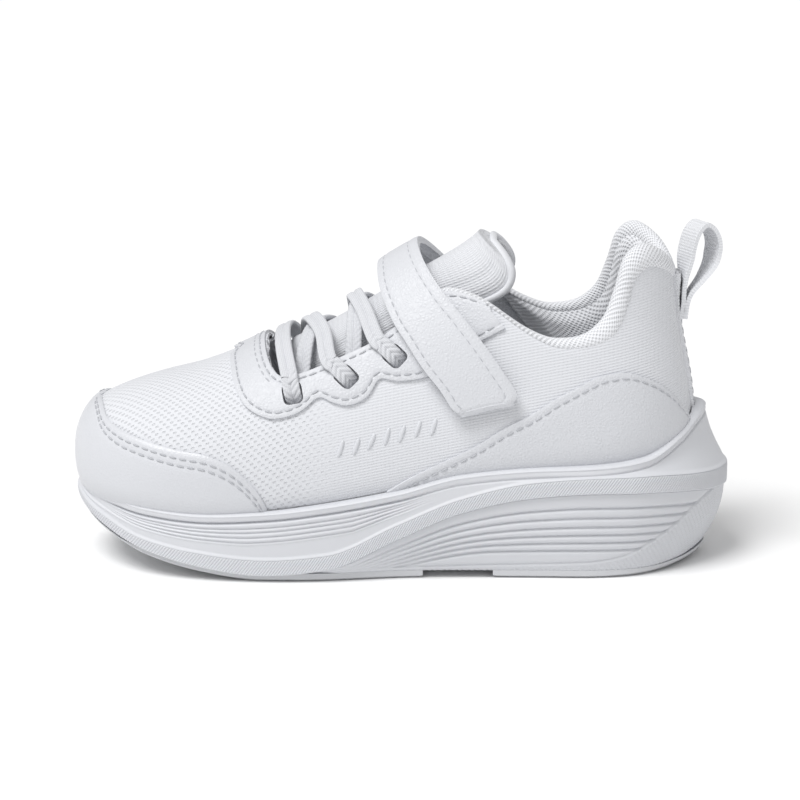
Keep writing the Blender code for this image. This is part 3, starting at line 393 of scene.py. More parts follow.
def copiesOf(name, places, ahead, up, size, segments=6, rings=4):
    # one small rounded form, modelled once and copied to each place
    bpy.ops.mesh.primitive_uv_sphere_add(segments=segments, ring_count=rings, radius=1)
    one = bpy.context.object
    form = np.array([v.co for v in one.data.vertices])[:, [2, 0, 1]]
    faces = [tuple(p.vertices) for p in one.data.polygons]
    bpy.data.objects.remove(one)
    form = np.sign(form) * np.abs(form)**[0.75, 1, 1] * (np.array(size) / 2)
    ahead = unit(ahead)
    beside = unit(np.cross(up, ahead))
    up = np.cross(ahead, beside)
    points = (places[:, None] + form[None, :, :1] * ahead[:, None] + form[None, :, 1:2] * beside[:, None]
              + form[None, :, 2:] * up[:, None])
    mesh = bpy.data.meshes.new(name)
    mesh.from_pydata((points.reshape(-1, 3) * mm).tolist(), [],
                     [tuple(v + n * len(form) for v in face) for n in range(len(places)) for face in faces])
    piece = bpy.data.objects.new(name, mesh)
    bpy.context.scene.collection.objects.link(piece)
    editAll(piece, facesOut)
    return smoothed(piece, 80)


thread = {"length": 2.5, "gap": 0.75, "thickness": 0.62, "reach": 0.8}


def sewn(name, seams, offset, body="shoe", slotName="synthetic_leather"):
    # a run of stitches along lines of (station, girth) places
    spots, ways, ups = [], [], []
    for station, girth in seams:
        line = onLast(station, girth, offset)
        along = lengthAlong(line)
        count = int(along[-1] / (thread["length"] + thread["gap"]))
        at = (np.arange(count) + 0.5) * along[-1] / count
        k, g = np.interp(at, along, station), np.interp(at, along, girth)
        spots.append(onLast(k, g, offset))
        ways.append(pointsAt(at + thread["reach"], along, line) - pointsAt(at - thread["reach"], along, line))
        ups.append(normalOn(k, g))
    run = copiesOf(name, *(np.concatenate(a) for a in (spots, ways, ups)),
                   (thread["length"], thread["thickness"], thread["thickness"]))
    # the thread finish's grey colour is painted shade of the stitch pits
    return dressed(run, slotName, body=body, finish="thread")


def widthOf(rows):
    ends = [onLast(rows[..., a], rows[..., a + 1], 0) for a in (0, 2)]
    return np.linalg.norm(ends[0] - ends[1], axis=-1)


def placesBetween(rows, share):
    # places at a share of the way from a band's upper edge to its lower one
    return tuple(rows[..., a] + (rows[..., a + 2] - rows[..., a]) * share for a in (0, 1))


def edgeSeam(ribs, edge, inset, start=0.0, end=1.0, count=160):
    # the line at a distance inside a band's upper (0) or lower (1) edge
    rows = smoothRows(ribs, np.linspace(start, end, count) * (len(ribs) - 1))
    share = inset / np.maximum(widthOf(rows), 2 * inset)
    return placesBetween(rows, share if edge == 0 else 1 - share)


def endSeam(ribs, at, insetTop, insetBottom, count=40):
    # the line across a band at a share of its length
    row = smoothRows(ribs, at * (len(ribs) - 1))[0]
    across = widthOf(row)
    return placesBetween(row, np.linspace(insetTop / across, 1 - insetBottom / across, count))


# Finishes
def newFinish(name, colour, roughness):
    finish = bpy.data.materials.new(name)
    finish.use_nodes = True
    tree = finish.node_tree
    shader = tree.nodes["Principled BSDF"]
    shader.inputs["Base Color"].default_value = (*colour, 1)
    shader.inputs["Roughness"].default_value = roughness
    place = tree.nodes.new("ShaderNodeTexCoord")
    return finish, shader, place


def mathNode(operation, a, b=None, clamp=False):
    # a Math node in the tree that its operands stand in
    tree = next(value for value in (a, b) if isinstance(value, bpy.types.NodeSocket)).id_data
    node = tree.nodes.new("ShaderNodeMath")
    node.operation = operation
    node.use_clamp = clamp
    for socket, value in zip(node.inputs, (a, b)):
        if isinstance(value, bpy.types.NodeSocket):
            tree.links.new(value, socket)
        elif value is not None:
            socket.default_value = value
    return node.outputs[0]


def times(a, b, clamp=False):
    return mathNode("MULTIPLY", a, b, clamp)


def plus(a, b, clamp=False):
    return mathNode("ADD", a, b, clamp)


def minus(a, b, clamp=False):
    return mathNode("SUBTRACT", a, b, clamp)


def timesPlus(value, factor, term):
    result = mathNode("MULTIPLY_ADD", value, factor)
    result.node.inputs[2].default_value = term
    return result


def noiseOf(place, scale, detail=3.0):
    tree = place.id_data
    noise = tree.nodes.new("ShaderNodeTexNoise")
    noise.inputs["Scale"].default_value = scale
    noise.inputs["Detail"].default_value = detail
    tree.links.new(place.outputs["Object"], noise.inputs["Vector"])
    return noise.outputs["Fac"]


def tinted(shader, amount, light, dark):
    # colour from light (0) to dark (1) by a height or a mask
    tree = shader.id_data
    ramp = tree.nodes.new("ShaderNodeMix")
    ramp.data_type = "RGBA"
    ramp.inputs[6].default_value, ramp.inputs[7].default_value = (*light, 1), (*dark, 1)
    tree.links.new(amount, ramp.inputs[0])
    tree.links.new(ramp.outputs[2], shader.inputs["Base Color"])


def bumped(shader, height, distance):
    tree = shader.id_data
    bump = tree.nodes.new("ShaderNodeBump")
    bump.inputs["Distance"].default_value = distance * mm
    bump.inputs["Strength"].default_value = 1.0
    tree.links.new(height, bump.inputs["Height"])
    tree.links.new(bump.outputs[0], shader.inputs["Normal"])


def axesOf(vector):
    tree = vector.id_data
    split = tree.nodes.new("ShaderNodeSeparateXYZ")
    tree.links.new(vector, split.inputs[0])
    return split.outputs


def wave(value, pitch, shift=0.0):
    # 0 to 1 and back along a value in millimetres
    return timesPlus(mathNode("SINE", timesPlus(value, 2 * math.pi / pitch, shift)), 0.5, 0.5)


knit = {"holePitch": 2.3, "rowPitch": 1.25, "holeLength": 0.5, "holeHeight": 0.48, "edge": 9.0,
        "lineFrom": -34.0, "linePitch": 0.9, "knotPitch": 1.3, "climb": 0.2, "paintedPitShade": (0.54, 0.55, 0.58)}


def makeKnit(name):
    # spacer mesh: staggered dashes over the vamp, fine level lines over the quarter; painted shade darkens the
    # holes and the grooves between the lines
    finish, shader, place = newFinish(name, shoe["white"], 0.85)
    u, v, _ = axesOf(place.outputs["UV"])
    row = mathNode("DIVIDE", v, knit["rowPitch"])
    odd = times(mathNode("MODULO", mathNode("ABSOLUTE", mathNode("FLOOR", row)), 2.0), 0.5)
    column = plus(mathNode("DIVIDE", u, knit["holePitch"]), odd)
    across = mathNode("ABSOLUTE", minus(mathNode("FRACT", column), 0.5))
    upwards = mathNode("ABSOLUTE", minus(mathNode("FRACT", row), 0.5))
    inside = (times(minus(knit[size] / 2, distance), knit["edge"], True)
              for size, distance in (("holeLength", across), ("holeHeight", upwards)))
    holes = times(*inside)
    quarter = times(minus(u, knit["lineFrom"]), 0.05, True)
    spot = axesOf(place.outputs["Object"])
    x, z = (times(spot[axis], 1 / mm) for axis in (0, 2))
    lines = wave(minus(z, times(x, knit["climb"])), knit["linePitch"])
    knots = wave(x, knit["knotPitch"])
    lines = times(lines, plus(times(knots, 0.5), 0.5))
    fine = times(lines, quarter)
    vamp = times(holes, minus(1.0, quarter))
    pits = plus(vamp, times(fine, 0.55), True)
    fuzz = noiseOf(place, 2600.0, 2.0)
    # painted shade: the knit's holes and grooves are coloured darker where shade would fall in them
    tinted(shader, times(pits, 0.42), shoe["white"], knit["paintedPitShade"])
    bumped(shader, minus(times(fuzz, 0.3), pits), 0.2)
    shader.inputs["Sheen Weight"].default_value = 0.15
    return finish


def makeLeather(name, grain=0.10, roughness=0.42):
    # coated synthetic leather with a fine pebble
    finish, shader, place = newFinish(name, shoe["skinWhite"], roughness)
    tree = shader.id_data
    cells = tree.nodes.new("ShaderNodeTexVoronoi")
    cells.feature = "DISTANCE_TO_EDGE"
    cells.inputs["Scale"].default_value = 900.0
    tree.links.new(place.outputs["Object"], cells.inputs["Vector"])
    pebble = times(cells.outputs["Distance"], 2.2, True)
    cloud = noiseOf(place, 45.0)
    bumped(shader, plus(pebble, times(cloud, 0.8)), grain)
    brighter = tuple(c * 1.03 for c in shoe["skinWhite"])
    tinted(shader, times(cloud, 0.35), shoe["skinWhite"], brighter)
    tree.links.new(timesPlus(cloud, 0.15, roughness - 0.05), shader.inputs["Roughness"])
    return finish


def makeFoam(name, colour, roughness=0.5, pitch=500.0, depth=0.03):
    # moulded foam or rubber, its skin a little uneven
    finish, shader, place = newFinish(name, colour, roughness)
    skin = noiseOf(place, pitch, 4.0)
    cloud = noiseOf(place, 22.0)
    bumped(shader, skin, depth)
    tinted(shader, times(cloud, 0.4), colour, tuple(c * 0.9 for c in colour))
    return finish


def makeRibbed(name, colour, alongPitch, acrossPitch, depth, roughness=0.85):
    # woven or knitted cloth with ribs along both directions of its own pattern; the low parts between the ribs
    # carry painted shade
    finish, shader, place = newFinish(name, colour, roughness)
    u, v, _ = axesOf(place.outputs["UV"])
    ribs = wave(v, acrossPitch)
    floats = wave(u, alongPitch)
    cloth = times(ribs, plus(floats, 0.6))
    fuzz = noiseOf(place, 2400.0, 2.0)
    bumped(shader, plus(cloth, times(fuzz, 0.3)), depth)
    # painted shade: the low parts of the weave are coloured darker, down to 0.72 of the cloth's colour
    low = times(minus(1.0, cloth, True), 0.5)
    tinted(shader, low, colour, tuple(c * 0.72 for c in colour))
    shader.inputs["Sheen Weight"].default_value = 0.2
    return finish


def makeDotted(name, colour, pitch=1.5):
    # spacer mesh lining with rows of small round pits, coloured darker in them as painted shade
    finish, shader, place = newFinish(name, colour, 0.9)
    u, v, _ = axesOf(place.outputs["UV"])
    dots = times(wave(u, pitch), wave(v, pitch))
    stagger = times(wave(u, pitch, math.pi), wave(v, pitch, math.pi))
    pits = plus(mathNode("POWER", dots, 2.0), mathNode("POWER", stagger, 2.0), True)
    fuzz = noiseOf(place, 2400.0, 2.0)
    bumped(shader, minus(times(fuzz, 0.3), pits), 0.3)
    # painted shade: the round pits are coloured darker, down to 0.68 of the lining's colour
    tinted(shader, times(pits, 0.6), colour, tuple(c * 0.68 for c in colour))
    shader.inputs["Sheen Weight"].default_value = 0.2
    return finish


finishes = {
    "upper_mesh": makeKnit("spacerKnit"),
    "synthetic_leather": makeLeather("pebbledSynthetic"),
    "toe_skin": makeLeather("smoothToeSkin", grain=0.05, roughness=0.36),
    "sole_foam": makeFoam("mouldedFoam", (0.64, 0.65, 0.68)),
    "outsole_rubber": makeFoam("outsoleRubber", (0.58, 0.59, 0.61), 0.6, 700.0, 0.05),
    "lining_mesh": makeDotted("spacerLining", (0.84, 0.85, 0.88)),
    "tongue_knit": makeRibbed("tongueKnit", (0.76, 0.77, 0.80), 1.6, 0.75, 0.10),
    "elastic": makeRibbed("wovenElastic", (0.67, 0.68, 0.71), 0.8, 0.55, 0.02),
    "webbing": makeRibbed("ribbedWebbing", (0.83, 0.84, 0.87), 0.9, 0.9, 0.18),
    "foam": makeFoam("openFoam", (0.84, 0.82, 0.76), 0.95, 1500.0, 0.2),
    "stiffener": makeFoam("pressedFibre", (0.66, 0.66, 0.64), 0.8, 900.0, 0.1),
    "board": makeFoam("nonWovenBoard", (0.74, 0.73, 0.70), 0.9, 1200.0, 0.1),
    "sockliner": makeDotted("socklinerKnit", (0.81, 0.82, 0.84), 1.1),
    "hook_tape": makeFoam("hookTape", (0.82, 0.83, 0.84), 0.6, 1600.0, 0.2),
    "loop_tape": makeFoam("loopTape", (0.82, 0.83, 0.84), 0.95, 1400.0, 0.3),
    # painted shade: the white thread is coloured mid grey to stand for the shadowed pits between the stitches
    "thread": makeRibbed("sewingThreadPaintedShade", (0.50, 0.51, 0.54), 0.5, 0.5, 0.03, 0.6),
}
for node, piece in frame["nodes"].items():
    slotName = next(s["material_slot"] for s in frame["record"]["subparts"] if s["node"] == node)
    piece.data.materials.clear()
    piece.data.materials.append(finishes[slotName])
print("finishes ready")


# The upper: guide lines of its pieces, the same ones that the frame's solids follow
upperRibs = [
    (0, 0, 0, 1), (1, 0, 1, 1), (1.6, 0, 1.5, 0.93), (2.1, 0, 2, 0.81), (3, 0, 3, 0.745), (4, 0, 4, 0.73),
    (5, 0, 5, 0.73), (5.9, 0, 5.8, 0.73), (6.65, 0, 6.3, 0.735), (6.68, 0.1, 6.6, 0.74),
    (6.76, 0.18, 6.85, 0.74), (6.95, 0.25, 7.1, 0.74), (7.4, 0.265, 7.5, 0.745), (8.1, 0.257, 8.1, 0.75),
    (8.8, 0.248, 8.8, 0.757), (9.5, 0.222, 9.5, 0.77), (10.1, 0.195, 10.1, 0.785),
    (10.6, 0.185, 10.5, 0.795), (11, 0.21, 10.8, 0.8), (11.4, 0.262, 11.1, 0.81), (11.8, 0.35, 11.4, 0.83),
    (12.2, 0.41, 11.7, 0.845), (12.7, 0.452, 11.9, 0.86), (13.2, 0.492, 12.1, 0.87),
    (13.7, 0.533, 12.25, 0.885), (14.3, 0.58, 12.4, 0.9), (15, 0.627, 12.5, 0.92),
    (15.7, 0.67, 12.6, 0.935), (16.1, 0.74, 12.7, 0.95), (16.1, 0.83, 12.8, 0.968),
    (15.95, 0.92, 12.87, 0.985), (15.85, 1, 12.9, 1),
]
toeRibs = [
    (0, 0, 0, 1), (1, 0, 1, 1), (1.6, 0, 1.5, 0.93), (2.05, 0, 1.9, 0.83), (2.2, 0.1, 2.2, 0.785),
    (2.55, 0.26, 2.6, 0.76), (3.1, 0.343, 3.1, 0.742), (3.77, 0.391, 3.77, 0.73), (4.5, 0.425, 4.5, 0.73),
    (5.18, 0.448, 5.15, 0.73), (5.64, 0.483, 5.6, 0.73), (5.95, 0.527, 5.9, 0.732),
    (6.19, 0.583, 6.1, 0.735), (6.3, 0.65, 6.25, 0.735),
]
quarterRibs = [
    (8.26, 0.666, 8.3, 0.75), (8.63, 0.649, 8.7, 0.757), (9.13, 0.632, 9.1, 0.763),
    (9.62, 0.612, 9.6, 0.772), (10.07, 0.585, 10, 0.783), (10.48, 0.565, 10.4, 0.793),
    (11.22, 0.534, 11, 0.808), (12, 0.53, 11.6, 0.84), (12.72, 0.555, 12, 0.865),
    (13.31, 0.617, 12.3, 0.89), (13.6, 0.7, 12.5, 0.92), (13.65, 0.78, 12.65, 0.945),
    (13.5, 0.86, 12.75, 0.96), (13.35, 0.92, 12.82, 0.97),
]
eyestayRibs = [
    (6.65, 0, 6, 0), (6.67, 0.07, 5.82, 0.055), (6.7, 0.13, 5.86, 0.15), (6.76, 0.19, 5.98, 0.25),
    (6.87, 0.235, 6.2, 0.32), (7.05, 0.263, 6.6, 0.367), (7.25, 0.267, 6.94, 0.378),
    (7.45, 0.266, 7.28, 0.372), (7.65, 0.264, 7.66, 0.348), (7.9, 0.26, 7.92, 0.376),
    (8.15, 0.257, 8.15, 0.394), (8.45, 0.254, 8.46, 0.388), (8.75, 0.25, 8.76, 0.352),
    (9.05, 0.242, 9.05, 0.374), (9.5, 0.222, 9.5, 0.386), (10.1, 0.195, 10.1, 0.366),
    (10.6, 0.185, 10.6, 0.335), (11, 0.21, 11, 0.324), (11.3, 0.247, 11.35, 0.32),
]
boardRibs = [(station, girth, min(station, 12.45), 1) for station, girth in (
    (1.75, 0.93), (2.2, 0.835), (3, 0.785), (4, 0.765), (5, 0.765), (6, 0.765), (7, 0.775), (8, 0.785),
    (9, 0.795), (10, 0.815), (11, 0.845), (11.7, 0.88), (12.2, 0.915), (12.5, 0.955))]
tongueRibs = [(station, girth, station, -girth) for station, girth in (
    (6.95, 0.2), (7.5, 0.215), (8.2, 0.215), (9, 0.205), (9.8, 0.2), (10.6, 0.205), (11.4, 0.215),
    (12.1, 0.215), (12.6, 0.19), (12.85, 0.14), (12.95, 0.08))]
strapRibs = [
    (9.72, 0.5, 10.52, 0.503), (9.64, 0.487, 10.64, 0.487), (9.6, 0.431, 10.65, 0.43),
    (9.51, 0.367, 10.64, 0.36), (9.44, 0.288, 10.58, 0.275), (9.38, 0.218, 10.5, 0.207),
    (9.4, 0.12, 10.46, 0.13), (9.49, 0.041, 10.5, 0.05), (9.58, -0.04, 10.58, -0.035),
    (9.66, -0.13, 10.66, -0.125), (9.72, -0.22, 10.72, -0.215), (9.76, -0.3, 10.76, -0.3),
]
heelRibs = upperRibs[19:]

layers = {"mesh": 1.0, "overlayInner": 0.85, "overlay": 1.35, "seamInset": 1.9, "seamDip": 0.28,
          "seamTop": 2.08}
laceSlots = [(7.18, 0.318), (8.24, 0.316), (9.14, 0.306)]  # from the toe up, on each side
laces = {"width": 5.3, "thickness": 1.15, "slotLength": 7.4, "barBow": 0.1, "under": -2.1, "over": -0.1,
         "tucked": -3.3, "lift": 2.9}


def slotLine(index, side):
    station, girth = laceSlots[index]
    return np.array([station, side * girth]), np.array([laceSlots[max(index - 1, 0)][0], 0.0])


def slotCutters():
    # one block with rounded ends through the skins at each lace slot, turned the way its lace runs
    cutters = []
    for index in range(len(laceSlots)):
        for side in (1, -1):
            place, origin = slotLine(index, side)
            centre, near = onLast(*place, 0), onLast(*(place + (origin - place) * 0.06), 0)
            normal = normalOn(*place)
            travel = centre - near
            travel = unit(travel - normal * travel.dot(normal))
            beside = np.cross(normal, travel)
            bpy.ops.mesh.primitive_cube_add(size=1)
            block = bpy.context.object
            editAll(block, lambda: bpy.ops.mesh.bevel(offset=0.28, segments=4, affect="EDGES"))
            sizes = (laces["slotLength"], laces["width"] + 1.0, 14.0)
            for vertex in block.data.vertices:
                x, y, z = np.array(vertex.co) * sizes
                vertex.co = (centre + travel * x + beside * y + normal * z) * mm
            editAll(block, facesOut)
            cutters.append(block)
    return cutters


def cutSlots(piece, cutters):
    for cutter in cutters:
        applied(piece, "BOOLEAN", object=cutter, operation="DIFFERENCE", solver="EXACT")


def makeUpper(cutters):
    # knit skin over the whole shoe, folded a little over the collar's edge
    def lift(station, girth, u, v, across):
        fold = 1 - ease(v * across, 0.0, 3.0)
        return -0.2 * fold * ease(station, 10.0, 11.5)

    upper = laidSkin("knitUpper", bothSides(upperRibs), (190, 56), lift, layers["mesh"], byPlace=True)
    cutSlots(upper, cutters)
    dressed(upper, "upper_mesh", ["mesh_upper"])


def pressedEdge(across, v, edges, inset=None):
    # a sewn edge: the skin dips along its stitches and rolls down at the very edge
    inset = layers["seamInset"] if inset is None else inset
    lift = 0 * v
    for edge in edges:
        distance = (v if edge == 0 else 1 - v) * across
        lift = lift - layers["seamDip"] * ridge(distance - inset, 0.7)
        lift = lift - 0.25 * (1 - ease(distance, 0.0, 1.1))
    return lift


toe = {"seams": (1.7, 3.5)}


def makeToe():
    def lift(station, girth, u, v, across):
        seam = sum(pressedEdge(across, v, [0], inset) for inset in toe["seams"])
        return layers["overlayInner"] + seam * ease(u, 0.2, 0.26)

    overlay = laidSkin("toeOverlay", bothSides(toeRibs), (120, 46), lift, layers["overlay"])
    dressed(overlay, "toe_skin", ["toe_overlay"])
    seams = [edgeSeam(ribs, 0, inset, 0.245, 0.985) for ribs in bothSides(toeRibs) for inset in toe["seams"]]
    sewn("toeStitches", seams, layers["seamTop"], "shoe", "toe_skin")


def makeQuarters():
    def lift(station, girth, u, v, across):
        return layers["overlayInner"] + pressedEdge(across, v, [0])

    for side, ribs in zip(("Lateral", "Medial"), bothSides(quarterRibs)):
        quarter = laidSkin("quarterOverlay" + side, [ribs], (130, 34), lift, layers["overlay"])
        dressed(quarter, "synthetic_leather", ["quarter_overlay_" + side.lower()])
        seam = edgeSeam(ribs, 0, layers["seamInset"], 0.01, 0.93, 240)
        sewn("quarterStitches" + side, [seam], layers["seamTop"])


eyestay = {"outerSeam": 1.6, "innerSeam": 1.5, "frontSeam": 3.3}


def makeEyestay(cutters):
    def lift(station, girth, u, v, across):
        return layers["overlayInner"] + pressedEdge(across, v, [0, 1], eyestay["outerSeam"])

    stay = laidSkin("laceStay", bothSides(eyestayRibs), (200, 26), lift, layers["overlay"])
    cutSlots(stay, cutters)
    dressed(stay, "synthetic_leather", ["eyestay"])
    seams = []
    for ribs in bothSides(eyestayRibs):
        seams.append(edgeSeam(ribs, 1, eyestay["outerSeam"], 0.0, 0.97, 300))
        seams.append(edgeSeam(ribs, 0, eyestay["innerSeam"], 0.0, 0.97, 300))
        seams.append(edgeSeam(ribs, 0, eyestay["frontSeam"], 0.0, 0.24, 100))
    sewn("eyestayStitches", seams, layers["seamTop"])


def placeAt(x, z):
    # the lateral place on the last that shows at (x, z) in side view
    lateral = lastPoints[:, lastNet["perSide"]:]
    gap = (lateral[..., 0] - x)**2 + (lateral[..., 2] - z)**2
    i, j = np.unravel_index(gap.argmin(), gap.shape)
    return i / lastNet["perStation"], j / lastNet["perSide"]


bars = {"count": 7, "from": (-17.5, 42.2), "to": (11.0, 49.2), "length": 5.6, "width": 1.5, "height": 1.1,
        "way": (0.35, 0.93)}


def makeBars():
    # a plain row of raised slanting bars on each quarter
    middles = [np.array(bars["from"]) + (np.array(bars["to"]) - bars["from"]) * i / (bars["count"] - 1)
               for i in range(bars["count"])]
    for side, name in ((1, "quarterBarsLateral"), (-1, "quarterBarsMedial")):
        spots, ways, ups = [], [], []
        for x, z in middles:
            dx, dz = bars["length"] / 2 * np.array(bars["way"])
            ends = []
            for at, points in (((x - dx, z - dz), ends), ((x + dx, z + dz), ends), ((x, z), spots)):
                station, girth = placeAt(*at)
                points.append(onLast(station, side * girth, layers["mesh"]))
            ways.append(ends[1] - ends[0])
            ups.append(normalOn(station, side * girth))
        row = copiesOf(name, np.array(spots), np.array(ways), np.array(ups),
                       (bars["length"], bars["width"], bars["height"]), 14, 10)
        dressed(row, "upper_mesh", finish="toe_skin")


def ribbon(name, path, width, steps, thickness, relief, columns=20):
    # a flat band along (station, girth, offset) places, its face patterned by relief(along, across)
    places = evenRows(path, steps + 1)
    centres = onLast(*places.T)
    normals = normalOn(places[:, 0], places[:, 1])
    travel = np.gradient(centres, axis=0)
    beside = unit(np.cross(travel, normals))
    face = unit(np.cross(beside, travel))
    along = lengthAlong(centres)
    across = np.linspace(-0.5, 0.5, columns + 1) * width
    rounding = thickness * 0.42 * (1 - np.sqrt(np.clip(1 - (np.abs(across) / (width / 2))**6, 0, 1)))
    a, b = np.meshgrid(along, across, indexing="ij")
    up = thickness / 2 + relief(a, b) - rounding
    down = -thickness / 2 + rounding + 0 * up
    flat = centres[:, None] + beside[:, None] * across[None, :, None]
    top, bottom = (flat + face[:, None] * height[..., None] for height in (up, down))
    pattern = np.stack([a, b], -1)
    band = layLattice(name, wrapped(top, bottom), wrapped(pattern, pattern))
    return smoothed(closed(band, 0.01), 50)


def herringbone(along, across):
    # two columns of slanting floats that meet in a V
    phase = along / 1.9 - np.abs(across) / 2.2
    floats = np.abs(np.sin(math.pi * phase))**0.7
    return 0.46 * floats - 0.4 * ridge(across, 0.4)


def slotDive(index, side):
    place, origin = slotLine(index, side)
    step = (origin - place) / np.linalg.norm(onLast(*origin, 0) - onLast(*place, 0))
    over, half = laces["lift"], laces["slotLength"] / 2
    drop = [(half + 3.6, over), (half + 0.6, over), (0.7, 0.7 * over), (-1.0, -0.2), (-2.2, -2.6)]
    return [(*(place + step * distance), offset) for distance, offset in drop]


def makeLaces():
    forward = laceSlots[0][0] - laces["barBow"]
    bar = slotDive(0, 1)[::-1] + [(forward, 0.0, laces["over"] + 0.4)] + slotDive(0, -1)
    runs = [("lace_front_bar", "laceFrontBar", bar)]
    for start, side, level in ((0, -1, "over"), (0, 1, "under"), (1, -1, "over"), (1, 1, "under")):
        station, middle = laceSlots[start][0], laces[level]
        near, far = station + 0.38, laceSlots[start + 1][0] - 0.24
        path = [(station + 0.12, side * 0.288, laces["tucked"]),
                (station + 0.2, side * 0.24, laces["tucked"]),
                (near, side * 0.13, middle - 0.1), ((near + far) / 2, 0.0, middle),
                (far, -side * 0.13, middle + 0.1)] + slotDive(start + 1, -side)
        number = start + 1
        runs.append(("lace_cross_%d_%s" % (number, level), "laceCross%d%s" % (number, level.title()), path))
    for node, name, path in runs:
        lace = ribbon(name, path, laces["width"], 230, laces["thickness"], herringbone)
        dressed(lace, "elastic", [node])


tongue = {"face": -3.6, "drop": 3.2, "halfGirth": 0.215, "thickness": 6.4, "pipe": 1.25}


def makeTongue():
    # a crowned cushion with a piped edge; its sides lie deeper than its middle, to pass inside the collar
    def rounding(u, v):
        side = np.sqrt(np.clip(1 - np.abs(2 * v - 1)**3.4, 0, 1))
        end = np.sqrt(np.clip(1 - np.clip((u - 0.86) / 0.14, 0, 1)**2.6, 0, 1)) * ease(u, -0.05, 0.06)
        return 0.10 + 0.90 * side * np.clip(end, 0.05, 1)

    def middle(girth):
        return tongue["face"] - tongue["thickness"] / 2 - tongue["drop"] * (girth / tongue["halfGirth"])**2

    def outer(station, girth, u, v, across):
        channel = 0.45 * ridge((np.abs(2 * v - 1) - 0.72) * across / 2, 0.9) * (1 - ease(u, 0.8, 0.86))
        return middle(girth) + tongue["thickness"] / 2 * rounding(u, v) - channel

    def inner(station, girth, u, v, across):
        return middle(girth) - tongue["thickness"] / 2 * rounding(u, v)

    pad = laidPad("tonguePad", [tongueRibs], (110, 40), outer, inner)
    dressed(closed(pad), "tongue_knit", ["tongue_cover", "tongue_foam", "tongue_lining"], body="tongue")
    edge = smoothRows(tongueRibs, np.linspace(4.5, len(tongueRibs) - 1, 60))
    station = np.concatenate([edge[:, 0], edge[::-1, 2]])
    girth = np.concatenate([edge[:, 1], edge[::-1, 3]])
    points = onLast(station, girth, middle(girth) + 0.35)
    piping = tube("tonguePiping", points, tongue["pipe"])
    dressed(piping, "tongue_knit", body="tongue")


def tube(name, points, radius, resolution=4):
    # a round cord through points, made a closed mesh
    curve = bpy.data.curves.new(name, "CURVE")
    curve.dimensions = "3D"
    curve.bevel_depth = radius * mm
    curve.bevel_resolution = resolution
    curve.use_fill_caps = True
    spline = curve.splines.new("POLY")
    spline.points.add(len(points) - 1)
    for knot, point in zip(spline.points, points):
        knot.co = (*(point * mm), 1)
    cord = bpy.data.objects.new(name, curve)
    bpy.context.scene.collection.objects.link(cord)
    only(cord)
    bpy.ops.object.convert(target="MESH")
    cord = bpy.context.object
    editAll(cord, weld(0.005), facesOut)
    if not cord.data.uv_layers:
        cord.data.uv_layers.new(name="UVMap")
    return smoothed(cord, 60)


collar = {"padding": 5.2, "counter": 2.6, "rollFrom": 16.4, "rollTo": 31.0,
          "rollWide": (2.6, 4.5), "rollDeep": (2.3, 2.9), "rollTop": 3.0, "rollOffset": -1.1}


def makeCollar():
    # the padded lining, fullest just under the collar's edge, and the rolled edge itself
    def inner(station, girth, u, v, across):
        depth = v * across
        swell = ease(depth, -2.5, 5.0) * (1 - ease(depth, 15.0, 27.0))
        fade = ease(u, 0.0, 0.1)
        return -collar["counter"] - (collar["padding"] - collar["counter"]) * swell * fade

    pad = laidPad("collarPad", bothSides(heelRibs), (96, 46), -0.25, inner)
    dressed(closed(pad), "lining_mesh", ["heel_lining", "collar_foam"])
    # the roll: an oval swept along the edge, fuller where the collar climbs to the heel
    t = np.linspace(collar["rollFrom"], collar["rollTo"], 130)
    full = ease(t, 22.0, 26.5) * (1 - 0.35 * ease(t, 28.0, 31.0))
    wide, deep = (low + (high - low) * full for low, high in (collar["rollWide"], collar["rollDeep"]))
    middles, rises, leans = [], [], []
    for side in (1, -1):
        rows = smoothRows(upperRibs, t)
        rims = rows[:, :2], rows[:, :2] + (rows[:, 2:] - rows[:, :2]) * 0.05
        edge, under = (onLast(rim[:, 0], side * rim[:, 1], collar["rollOffset"]) for rim in rims)
        rise = unit(edge - under)
        middles.append(edge + rise * (collar["rollTop"] - wide)[:, None])
        rises.append(rise)
        leans.append(normalOn(rows[:, 0], side * rows[:, 1]))
    middle, rise, lean = (np.concatenate([a[0], a[1][-2::-1]]) for a in (middles, rises, leans))
    wide, deep = (np.concatenate([a, a[-2::-1]])[:, None, None] for a in (wide, deep))
    angle = np.linspace(0, 2 * math.pi, 29)[None, :, None]
    lattice = middle[:, None] + rise[:, None] * np.cos(angle) * wide + lean[:, None] * np.sin(angle) * deep
    along = lengthAlong(middle)
    pattern = np.stack([along[:, None] + 0 * angle[..., 0], angle[..., 0] * wide[..., 0]], -1)
    roll = layLattice("collarRoll", lattice, pattern)
    dressed(smoothed(closed(roll, 0.004), 60), "lining_mesh", ["collar_roll"])


def makeSockliner():
    def outer(station, girth, u, v, across):
        return -0.3 - 1.2 * (1 - ease(v * across, 0, 1.5))

    def inner(station, girth, u, v, across):
        return -3.7 + 1.0 * (1 - ease(v * across, 0, 2.0))

    liner = laidPad("footbed", bothSides(boardRibs), (90, 20), outer, inner, halves=True)
    dressed(closed(liner), "sockliner", ["sockliner"])


strap = {"length": 118.0, "inner": 3.3, "thickness": 2.4, "seam": 1.7, "rearSeam": 3.4, "endSeam": 3.2,
         "anchorRise": 0.5, "bend": (-0.302, -0.245)}


